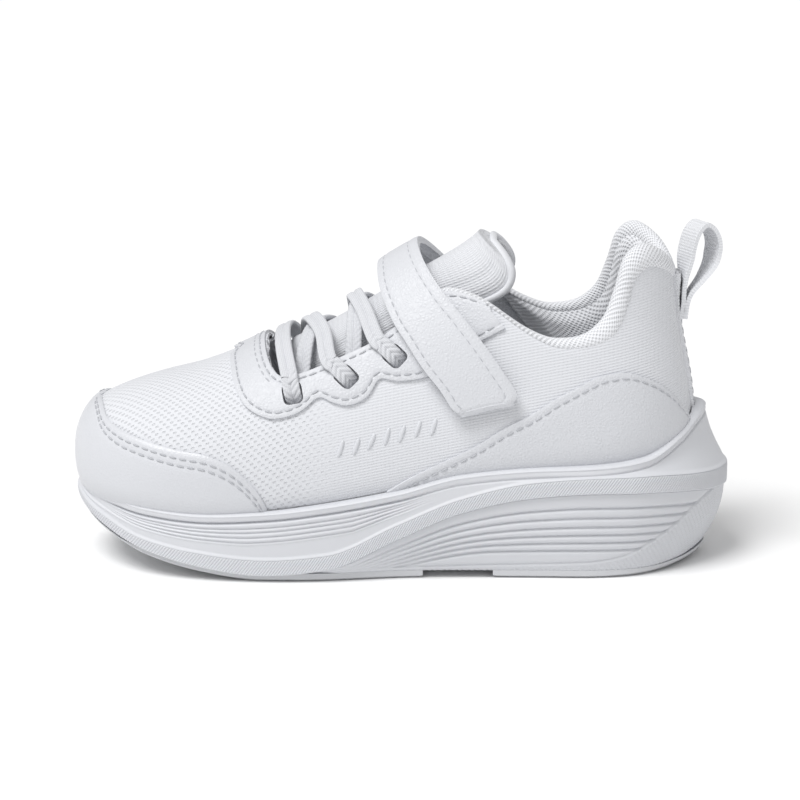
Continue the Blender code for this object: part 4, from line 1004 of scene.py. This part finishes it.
def makeStrap():
    def lift(station, girth, u, v, across):
        front, rear, end = v * across, (1 - v) * across, u * strap["length"]
        dip = ridge(front - strap["seam"], 0.6) + ridge(rear - strap["rearSeam"], 0.6)
        endDip = ridge(end - strap["endSeam"], 0.6) * ease(front, 1.5, 3.0) * ease(rear, 1.5, 3.0)
        dip = dip * ease(end, 2.0, 4.0) + endDip
        soft = 2 - ease(front, 0, 1.2) - ease(rear, 0, 1.2) + (1 - ease(end, 0, 1.2))
        return strap["inner"] - 0.3 * np.clip(dip, 0, 1) - 0.25 * soft

    band = laidSkin("strapBand", [strapRibs], (170, 40), lift, strap["thickness"], 0.5)
    dressed(band, "synthetic_leather", ["strap"], body="")
    face = strap["inner"] + strap["thickness"] - 0.32
    seams = [edgeSeam(strapRibs, 0, strap["seam"], 0.03, 0.99, 200),
             edgeSeam(strapRibs, 1, strap["rearSeam"], 0.03, 0.99, 200),
             endSeam(strapRibs, 0.03, strap["seam"], strap["rearSeam"])]
    stitches = sewn("strapStitches", seams, face, "")
    for piece in (band, stitches):
        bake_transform(piece)


def makeAnchor():
    # the short end of the strap that is sewn down on the medial side
    fold = strapRibs[-1]
    ribs = [(fold[0], fold[1] - 0.006, fold[2], fold[3] - 0.006), (9.77, -0.34, 10.77, -0.34),
            (9.78, -0.385, 10.78, -0.385), (9.78, -0.43, 10.78, -0.43)]
    sewnDown = layers["overlayInner"] + strap["anchorRise"]

    def lift(station, girth, u, v, across):
        settle = (sewnDown - strap["inner"]) * ease(-girth, 0.31, 0.38)
        return strap["inner"] + settle - 0.3 * ridge(v * across - strap["seam"], 0.6)

    anchor = laidSkin("strapAnchor", [ribs], (60, 40), lift, strap["thickness"], 0.5)
    dressed(anchor, "synthetic_leather", ["strap_anchor"])
    seams = [endSeam(ribs, at, 2.0, 2.0) for at in (0.97, 0.72)]
    sewn("anchorStitches", seams, sewnDown + strap["thickness"] - 0.1)


pullLoop = {
    "path": [(90.4, 77.5), (91, 82), (92.2, 85.5), (95.6, 90), (99.3, 95.2), (100.3, 100.4), (98.6, 105),
             (95.4, 107.2), (92.4, 104.6), (90.7, 99.6), (89.9, 93.2), (89.9, 88), (89.8, 83), (89.1, 77.5)],
    "sewnTo": (0.0918, 0.0, 0.083), "freeFrom": (0.0925, 0.0, 0.091),
    "width": 9.0, "thickness": 1.3, "stripWidth": 10.0, "stripBulk": 1.1, "twist": 26.0,
}


def makePullLoop():
    # ribbed webbing, doubled over to a loop, and the strip that runs down the back seam
    steps, columns = 170, 18
    line = evenRows(pullLoop["path"], steps + 1) * (lengthScale, 1)
    ahead = unit(np.gradient(line, axis=0))
    out = np.stack([ahead[:, 1], -ahead[:, 0]], -1)
    across = np.linspace(-0.5, 0.5, columns + 1) * pullLoop["width"]
    along = lengthAlong(line)
    a, b = np.meshgrid(along, across, indexing="ij")
    weave = 0.10 * np.sin(2 * math.pi * a / 1.1) * (1 - ridge(np.abs(b) - pullLoop["width"] / 2, 0.8))
    hem = 0.14 * ridge(np.abs(b) - pullLoop["width"] / 2 + 0.9, 0.5)
    faces = []
    for sign in (1, -1):
        lift = sign * (pullLoop["thickness"] / 2 + weave + hem)
        x, z = (line[:, None, axis] + out[:, None, axis] * lift for axis in (0, 1))
        faces.append(np.stack([x, b, z], -1))
    lattice = wrapped(*faces)
    turned = math.radians(pullLoop["twist"]) * ease(lattice[..., 2], 86.0, 98.0)
    middle = pullLoop["sewnTo"][0] / mm
    x, y = lattice[..., 0] - middle, lattice[..., 1].copy()
    lattice[..., 0] = middle + x * np.cos(turned) - y * np.sin(turned)
    lattice[..., 1] = x * np.sin(turned) + y * np.cos(turned)
    flat = np.stack([a, b], -1)
    loop = layLattice("pullLoop", lattice, wrapped(flat, flat))
    dressed(smoothed(closed(loop, 0.01), 50), "webbing", ["pull_loop"], body="")
    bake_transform(loop)
    edge = 1 - pullLoop["stripWidth"] / 2 / girthMillimetres(14.0, 1.0)
    ribs = [(station, edge, station, 1.0) for station in (13.2, 13.8, 14.4, 15.0, 15.5, 15.78)]

    def outer(station, girth, u, v, across):
        bulk = pullLoop["stripBulk"] * ease(u, 0.7, 0.95)
        weave = 0.08 * np.sin(2 * math.pi * u * 44)
        return 2.1 + bulk + weave - 0.3 * ridge(v * across - 1.1, 0.5) - 0.3 * (v == 0)

    strip = laidPad("backStrip", bothSides(ribs), (180, 14), outer, 0.9, halves=True)
    dressed(closed(strip), "webbing", ["back_strip"])
    sewn("backStitches", [edgeSeam(r, 0, 1.1, 0.02, 0.98) for r in bothSides(ribs)], 2.05, "shoe", "webbing")


cutters = slotCutters()
makeUpper(cutters)
makeToe()
makeQuarters()
makeEyestay(cutters)
for cutter in cutters:
    bpy.data.objects.remove(cutter)
makeBars()
print("upper ready")
makeLaces()
makeTongue()
makeCollar()
makeSockliner()
makeStrap()
makeAnchor()
makePullLoop()
print("laces, pads and strap ready")


# The sole. Each row is a place along it: half-widths, the heights of the lines on its side, how far the lip
# stands in, and the height of the joint between the foams under the foot
soleColumns = ("x", "lateral", "medial", "ground", "bandLow", "bandTop", "lip", "lipInset", "core")
soleRows = np.array([
    (-104.3, 0, 0, 18, 20.5, 23, 27.8, 0.6, 20.5), (-101, 13.5, 12.5, 16, 18.2, 20.8, 26.6, 0.6, 17),
    (-93, 24, 23.5, 11.8, 13.8, 17.2, 24.6, 0.6, 12.5), (-80, 33, 32.5, 6.6, 8.6, 12.4, 22.6, 0.6, 8.6),
    (-62, 38, 38.3, 2.4, 4.4, 9.3, 21.6, 0.6, 4.4), (-42, 39.5, 39.5, 0, 2, 7.6, 22.6, 0.6, 2),
    (-22, 39.2, 37, 0, 3.9, 9.2, 25, 0.6, 3.9), (0, 37.3, 34.3, 0, 13.3, 18.6, 28.8, 0.6, 11),
    (20, 36.2, 33, 0, 21.8, 26.9, 34, 0.8, 15), (42, 36, 33.4, 0, 26.7, 32.2, 36.2, 1, 17),
    (62, 35.8, 34, 0, 28.2, 33.8, 37, 1.2, 17.5), (78, 33.2, 32.2, 0, 28, 34, 38.8, 2, 18),
    (92, 25, 24.5, 1, 26.6, 32.8, 44.6, 4.6, 19), (101.3, 13.2, 13, 2.4, 24.6, 31.4, 49, 6.8, 20),
    (105.3, 0, 0, 3, 23.6, 31, 50, 7.6, 20),
])
sole = {"columns": 640, "rubber": 2.6, "arch": (8.0, 30.0), "wedgeFront": -20.0, "hatchPitch": 0.95,
        "hatchDepth": 0.26, "hatchLean": 0.75, "bandGap": 0.15, "probe": (4, 22)}


def soleOutline(count):
    # points evenly spaced round the sole, from the toe down the lateral side, and their outward normals
    lateral = np.stack([soleRows[:, 0], -soleRows[:, 1]], -1)
    medial = np.stack([soleRows[:, 0], soleRows[:, 2]], -1)[-2:0:-1]
    knots = np.concatenate([lateral, medial]) * (lengthScale, widthScale)
    around = np.concatenate([knots[-2:], knots, knots[:3]])
    fine = smoothRows(around, 2 + np.linspace(0, len(knots), len(knots) * 40 + 1))
    along = lengthAlong(fine)
    at = np.linspace(0, along[-1], count + 1)
    points = pointsAt(at, along, fine)
    ahead = np.roll(points[:-1], -1, axis=0) - np.roll(points[:-1], 1, axis=0)
    ahead = unit(np.vstack([ahead, ahead[:1]]))
    out = np.stack([ahead[:, 1], -ahead[:, 0]], -1)
    out *= -1 if out[0, 0] > 0 else 1
    return points, out, at


def soleLine(name, x):
    return steadyLine(soleRows[:, 0] * lengthScale, soleRows[:, soleColumns.index(name)], x)


outline, outward, alongSole = soleOutline(sole["columns"])


def ringAt(inset, height, ring=None):
    # one ring round the sole, inset from its outline or from another ring's
    points, out = ring or (outline, outward)
    inset, height = inset + 0 * points[:, 0], height + 0 * points[:, 0]
    return np.stack([points[:, 0] - out[:, 0] * inset, points[:, 1] - out[:, 1] * inset, height], -1)


def spineAt(endInset, height):
    half = shoe["length"] / 2 - endInset
    x = np.clip(outline[:, 0], -half, half)
    return np.stack([x, 0 * x, height(x)], -1)


def solidRings(name, rings, along=None):
    lattice = np.stack(rings, 1)
    along = alongSole if along is None else along
    pattern = np.stack([np.broadcast_to(along[:, None], lattice.shape[:2]), lattice[..., 2]], -1)
    body = joinPieces(name, [layLattice(name, lattice, pattern)], merge=0.004)
    return smoothed(body, 42)


bottomLine = lastPoints[:13 * lastNet["perStation"] + 1, -1]  # from the toe tip to the back of the heel


def bottomHeight(x):
    return np.interp(x, bottomLine[:, 0], bottomLine[:, 2])


def upperHits(heights, offset):
    # how far in from the outline the upper stands at each height
    net = lastPoints[::8, ::6] + lastNormals[::8, ::6] * offset
    count = net.shape[1]
    faces = [(i * count + j, i * count + j + 1, (i + 1) * count + j + 1, (i + 1) * count + j)
             for i in range(net.shape[0] - 1) for j in range(count - 1)]
    tree = BVHTree.FromPolygons([Vector(p) for p in net.reshape(-1, 3)], faces)
    insets, (outside, reach) = [], sole["probe"]
    for (x, y), (nx, ny), z in zip(outline, outward, heights):
        hit = tree.ray_cast(Vector((x + nx * outside, y + ny * outside, z)), Vector((-nx, -ny, 0)), reach)
        insets.append(hit[3] - outside if hit[0] is not None else np.nan)
    insets = np.array(insets)
    known = ~np.isnan(insets)
    insets = np.interp(alongSole, alongSole[known], insets[known])
    return np.maximum(insets, 0.3)


grooves = {"drops": (0.0, 0.31, 0.52, 0.76, 1.0), "depth": 0.55, "width": 0.34, "lip": 2.9}


def coreHeight(x):
    # where the cup's foam ends under the foot, never above the band
    return np.minimum(soleLine("core", x), soleLine("bandLow", x))


def makeCup():
    # midsole: wall with fine grooves towards the toe, a rolled lip, and a bed that follows the upper
    x, brow = outline[:, 0], grooves["lip"]
    bandLow, bandTop, lip, inset = (soleLine(column, x) for column in ("bandLow", "bandTop", "lip", "lipInset"))
    core = coreHeight(x)
    rise = lip - bandTop
    bulge = ease(x, 60.0, 96.0)
    room = np.clip((rise - brow - 1.0) * 0.62, 0.4, 6.6)
    fade = ease(x, -104.0, -99.0) * (1 - ease(x, -4.0, 14.0))
    rings = [spineAt(16.0, coreHeight), ringAt(9.5, core), ringAt(4.5, bandLow), ringAt(1.6, bandLow),
             ringAt(1.1, bandLow + 0.2), ringAt(0.9, bandTop - 0.5)]
    count = 64
    for i in range(count + 1):
        f = i / count
        z = bandTop - 0.3 + (rise - 0.9) * f
        below = lip - z
        lean = 0.55 * ease(z, bandTop - 0.3, bandTop + 0.9) * (1 - 0.6 * f)
        cave = bulge * 1.3 * np.sin(math.pi * f)
        roll = 0.35 * ridge(below - brow * 0.45, brow * 0.55) * ease(x, -103.5, -98.0)
        cut = 0.5 * ridge(below - brow, 0.4)
        for drop in grooves["drops"]:
            cut = cut + fade * grooves["depth"] * ridge(below - brow - room * drop, grooves["width"])
        low = brow + room
        swell = fade * 0.35 * ease(below, brow, brow + 0.8) * (1 - ease(below, low, low + 1.2))
        rings.append(ringAt(lean + cave + inset * f**1.2 + cut - roll - swell, z))
    for angle in np.radians([25, 50, 75, 90]):
        rings.append(ringAt(inset - 0.45 + 1.6 * (1 - math.cos(angle)), lip - 1.2 + 1.2 * math.sin(angle)))
    rings.append(ringAt(np.maximum(upperHits(lip, 1.5), inset + 1.3), lip))
    floor = bottomHeight(x)
    for share in (0.75, 0.5, 0.25, 0.08):
        z = floor + (lip - floor) * share
        rings.append(ringAt(np.maximum(upperHits(z, 1.9), inset * share + 1.6), z - 0.4))
    rings.append(spineAt(20.0, lambda s: bottomHeight(s) - 2.2))
    cup = solidRings("midsoleCup", rings)
    dressed(cup, "sole_foam", ["midsole"])


def makeHatchBand():
    # the diagonal ribs of the band that sweeps round the sole
    ribs = int(alongSole[-1] / sole["hatchPitch"])
    steps = ribs * 4
    ring = soleOutline(steps)
    profile = np.tile([0.0, 0.75, 1.0, 0.75], ribs + 1)[:steps + 1] * sole["hatchDepth"]
    width = soleLine("bandTop", ring[0][:, 0]) - soleLine("bandLow", ring[0][:, 0]) - 2 * sole["bandGap"]
    rings = []
    # inset, share of the band's height, share of the relief
    rows = [(1.7, 0.0, 0.0), (0.45, 0.0, 0.0), (0.15, 0.07, 0.9), (0.1, 0.25, 1.0), (0.1, 0.5, 1.0),
            (0.1, 0.75, 1.0), (0.15, 0.93, 0.9), (0.45, 1.0, 0.0), (1.7, 1.0, 0.0)]
    for inset, f, relief in rows + rows[:1]:
        at = (ring[2] + (f - 0.5) * width * sole["hatchLean"]) % ring[2][-1]
        slid = [pointsAt(at, ring[2], a) for a in ring[:2]]
        low, high = (soleLine(column, slid[0][:, 0]) for column in ("bandLow", "bandTop"))
        low, high = low + sole["bandGap"], high - sole["bandGap"]
        rings.append(ringAt(inset - profile * relief, low + (high - low) * f, slid))
    band = solidRings("hatchedBand", rings, ring[2])
    dressed(band, "sole_foam")


wedge = {"shares": (0.13, 0.25, 0.37, 0.495, 0.635, 0.78), "depth": 0.95, "width": 0.5, "base": 6.6,
         "rimX": (-22, 30, 60, 71, 87, 95.7, 101, 106), "rimZ": (3.4, 4.6, 5.6, 7.4, 15.5, 22.5, 25.0, 26.0)}


def heelShare(x):
    return ease(x, 60.0 * lengthScale, shoe["length"] / 2)


def rubberInset(x):
    return 1.6 + 2.4 * ease(x, -34.0, 8.0) + 2.8 * heelShare(x)


def makeWedge():
    # heel wedge: long rounded waves that fan together towards the arch, in a textured rim
    def roof(x):
        return np.maximum(coreHeight(x) - 0.6, soleLine("ground", x) + sole["rubber"] + 0.15)

    x = outline[:, 0]
    ground, bandLow = soleLine("ground", x), soleLine("bandLow", x)
    front = 1 - ease(x, sole["wedgeFront"] - 6, sole["wedgeFront"] + 4)
    foot = ground + sole["rubber"] - 0.15
    top = np.maximum(bandLow - 0.1, foot + 0.05)
    low = rubberInset(x)
    rim = steadyLine(wedge["rimX"], wedge["rimZ"], x)
    base = wedge["base"] * ease(x, -20.0, 30.0)
    grow = ease(x, -20.0, 20.0)
    rings = [spineAt(14.0, lambda s: soleLine("ground", s) + sole["rubber"] - 0.15),
             ringAt(low + 2 + 1.2 * front, foot), ringAt(low + 1.2 * front, foot)]
    count = 84
    for i in range(count + 1):
        f = i / count
        z = foot + (top - foot) * f
        lean = 1.0 + (low - 0.8) * (1 - f)**2
        waves = 0 * z
        for share in wedge["shares"]:
            line = base + (bandLow - base) * share
            waves = waves + ridge(z - line, wedge["width"]) * ease(z, rim - 0.6, rim + 0.6)
        waves = wedge["depth"] * np.clip(waves, 0, 1) * (0.35 + 0.65 * grow)
        step = 0.5 * ridge(z - rim, 0.45) * ease(x, -14.0, 10.0)
        hatch = 0.22 * np.sin(2 * math.pi * (alongSole + 0.8 * z) / 1.9)
        hatch = hatch * (1 - ease(z, rim - 1.2, rim - 0.5)) * grow
        rings.append(ringAt(lean + waves + step + hatch + 1.2 * front, z))
    rings += [ringAt(5.0 + 1.2 * front, top - 0.05), spineAt(16.0, roof)]
    body = solidRings("heelWedge", rings)
    dressed(body, "sole_foam", ["heel_wedge"])


tread = {"pitch": 8.5, "depth": 1.1, "width": 0.75, "rim": 3.2}


def makeOutsole(name, node, front, rear):
    # rubber with zigzag sipes, thinner where it turns up at its edges
    points, out, _ = soleOutline(1200)
    inset = rubberInset(points[:, 0])
    edge = points - out * inset[:, None]
    heelEnd = int(edge[:, 0].argmax())
    lateral, medial = edge[:heelEnd + 1], edge[heelEnd:][::-1]
    x0, x1 = max(front, edge[:, 0].min() + 0.05), min(rear, edge[:, 0].max() - 0.05)
    columns, rows = 230, 96
    share = np.linspace(0, 1, columns + 1)
    toeRound = 0.5 - 0.5 * np.cos(math.pi * share)
    mix = 0.65 if node == "outsole_forefoot" else 0.5
    x = x0 + (x1 - x0) * (mix * toeRound + (1 - mix) * share)
    yLow = np.interp(x, lateral[:, 0], lateral[:, 1])
    yHigh = np.interp(x, np.maximum.accumulate(medial[:, 0]), medial[:, 1])
    v = np.linspace(0, 1, rows + 1)
    y = yLow[:, None] + (yHigh - yLow)[:, None] * v
    xs = np.broadcast_to(x[:, None], y.shape)
    side = np.minimum(y - yLow[:, None], yHigh[:, None] - y)
    ends = np.minimum(xs - x0 if front > -99 else 99.0 + 0 * xs, x1 - xs if rear < 99 else 99.0 + 0 * xs)
    margin = np.minimum(side, ends)
    zigzag = (xs + 3.2 * np.abs(((y / 9.0) % 2) - 1)) % tread["pitch"] - tread["pitch"] / 2
    cut = ridge(zigzag, tread["width"]) * ease(margin, tread["rim"] - 0.8, tread["rim"] + 0.4)
    cut = np.maximum(cut, ridge(margin - tread["rim"], 0.55) * 0.8)
    lift = (1 - ease(margin, 0.0, 1.4 + 3.0 * heelShare(xs))) * (0.9 + 1.2 * heelShare(xs))
    ground = soleLine("ground", xs)
    top = np.minimum(ground + sole["rubber"], np.maximum(soleLine("core", xs) - 0.2, ground + 1.0))
    under, over = (np.stack([xs, y, z], -1) for z in (ground + tread["depth"] * cut + lift, top))
    lattice = wrapped(under, over)
    rubber = layLattice(name, lattice, lattice[..., :2])
    dressed(smoothed(closed(rubber, 0.004), 40), "outsole_rubber", [node])


makeCup()
makeHatchBand()
makeWedge()
makeOutsole("outsoleForefoot", "outsole_forefoot", -999.0, sole["arch"][0])
makeOutsole("outsoleHeel", "outsole_heel", sole["arch"][1], 999.0)
print("sole ready")


# Floor, light and camera
studio = {"aim": (0.0, 0.0, 0.0494), "azimuth": 1.5, "elevation": 14.0, "distance": 0.857, "lens": 120.0,
          "world": 0.50, "key": 2.2, "softBox": 1.2, "keyWay": (0.34, 0.34, -0.88)}


def makeStudio():
    bpy.ops.mesh.primitive_plane_add(size=60, location=(0, 0, 0))
    floor = bpy.context.object
    floor.name = "studioFloor"
    floor.data.materials.append(newFinish("palePaper", (0.93, 0.93, 0.93), 0.9)[0])
    world = bpy.data.worlds.new("softWhite")
    world.use_nodes = True
    sky = world.node_tree.nodes["Background"]
    sky.inputs["Color"].default_value = (1, 1, 1, 1)
    sky.inputs["Strength"].default_value = studio["world"]
    bpy.context.scene.world = world
    bpy.ops.object.light_add(type="SUN", location=(0, 0, 1))
    key = bpy.context.object
    key.name = "keyLight"
    key.data.energy, key.data.angle = studio["key"], math.radians(28)
    key.rotation_euler = Vector(studio["keyWay"]).to_track_quat("-Z", "Y").to_euler()
    bpy.ops.object.light_add(type="AREA", location=(-0.5, -0.9, 0.9))
    gloss = bpy.context.object
    gloss.name = "softBox"
    gloss.data.size, gloss.data.energy = 0.6, studio["softBox"]
    gloss.rotation_euler = (Vector((0, 0, 0.04)) - gloss.location).to_track_quat("-Z", "Y").to_euler()
    bpy.ops.object.camera_add()
    camera = bpy.context.object
    azimuth, elevation = math.radians(studio["azimuth"]), math.radians(studio["elevation"])
    level = math.cos(elevation)
    back = Vector((math.sin(azimuth) * level, -math.cos(azimuth) * level, math.sin(elevation)))
    camera.location = Vector(studio["aim"]) + back * studio["distance"]
    camera.rotation_euler = (-back).to_track_quat("-Z", "Y").to_euler()
    camera.data.lens = studio["lens"]
    camera.data.sensor_width = 36
    bpy.context.scene.camera = camera
    bpy.context.scene.view_settings.view_transform = "Standard"


makeStudio()
print("studio ready")
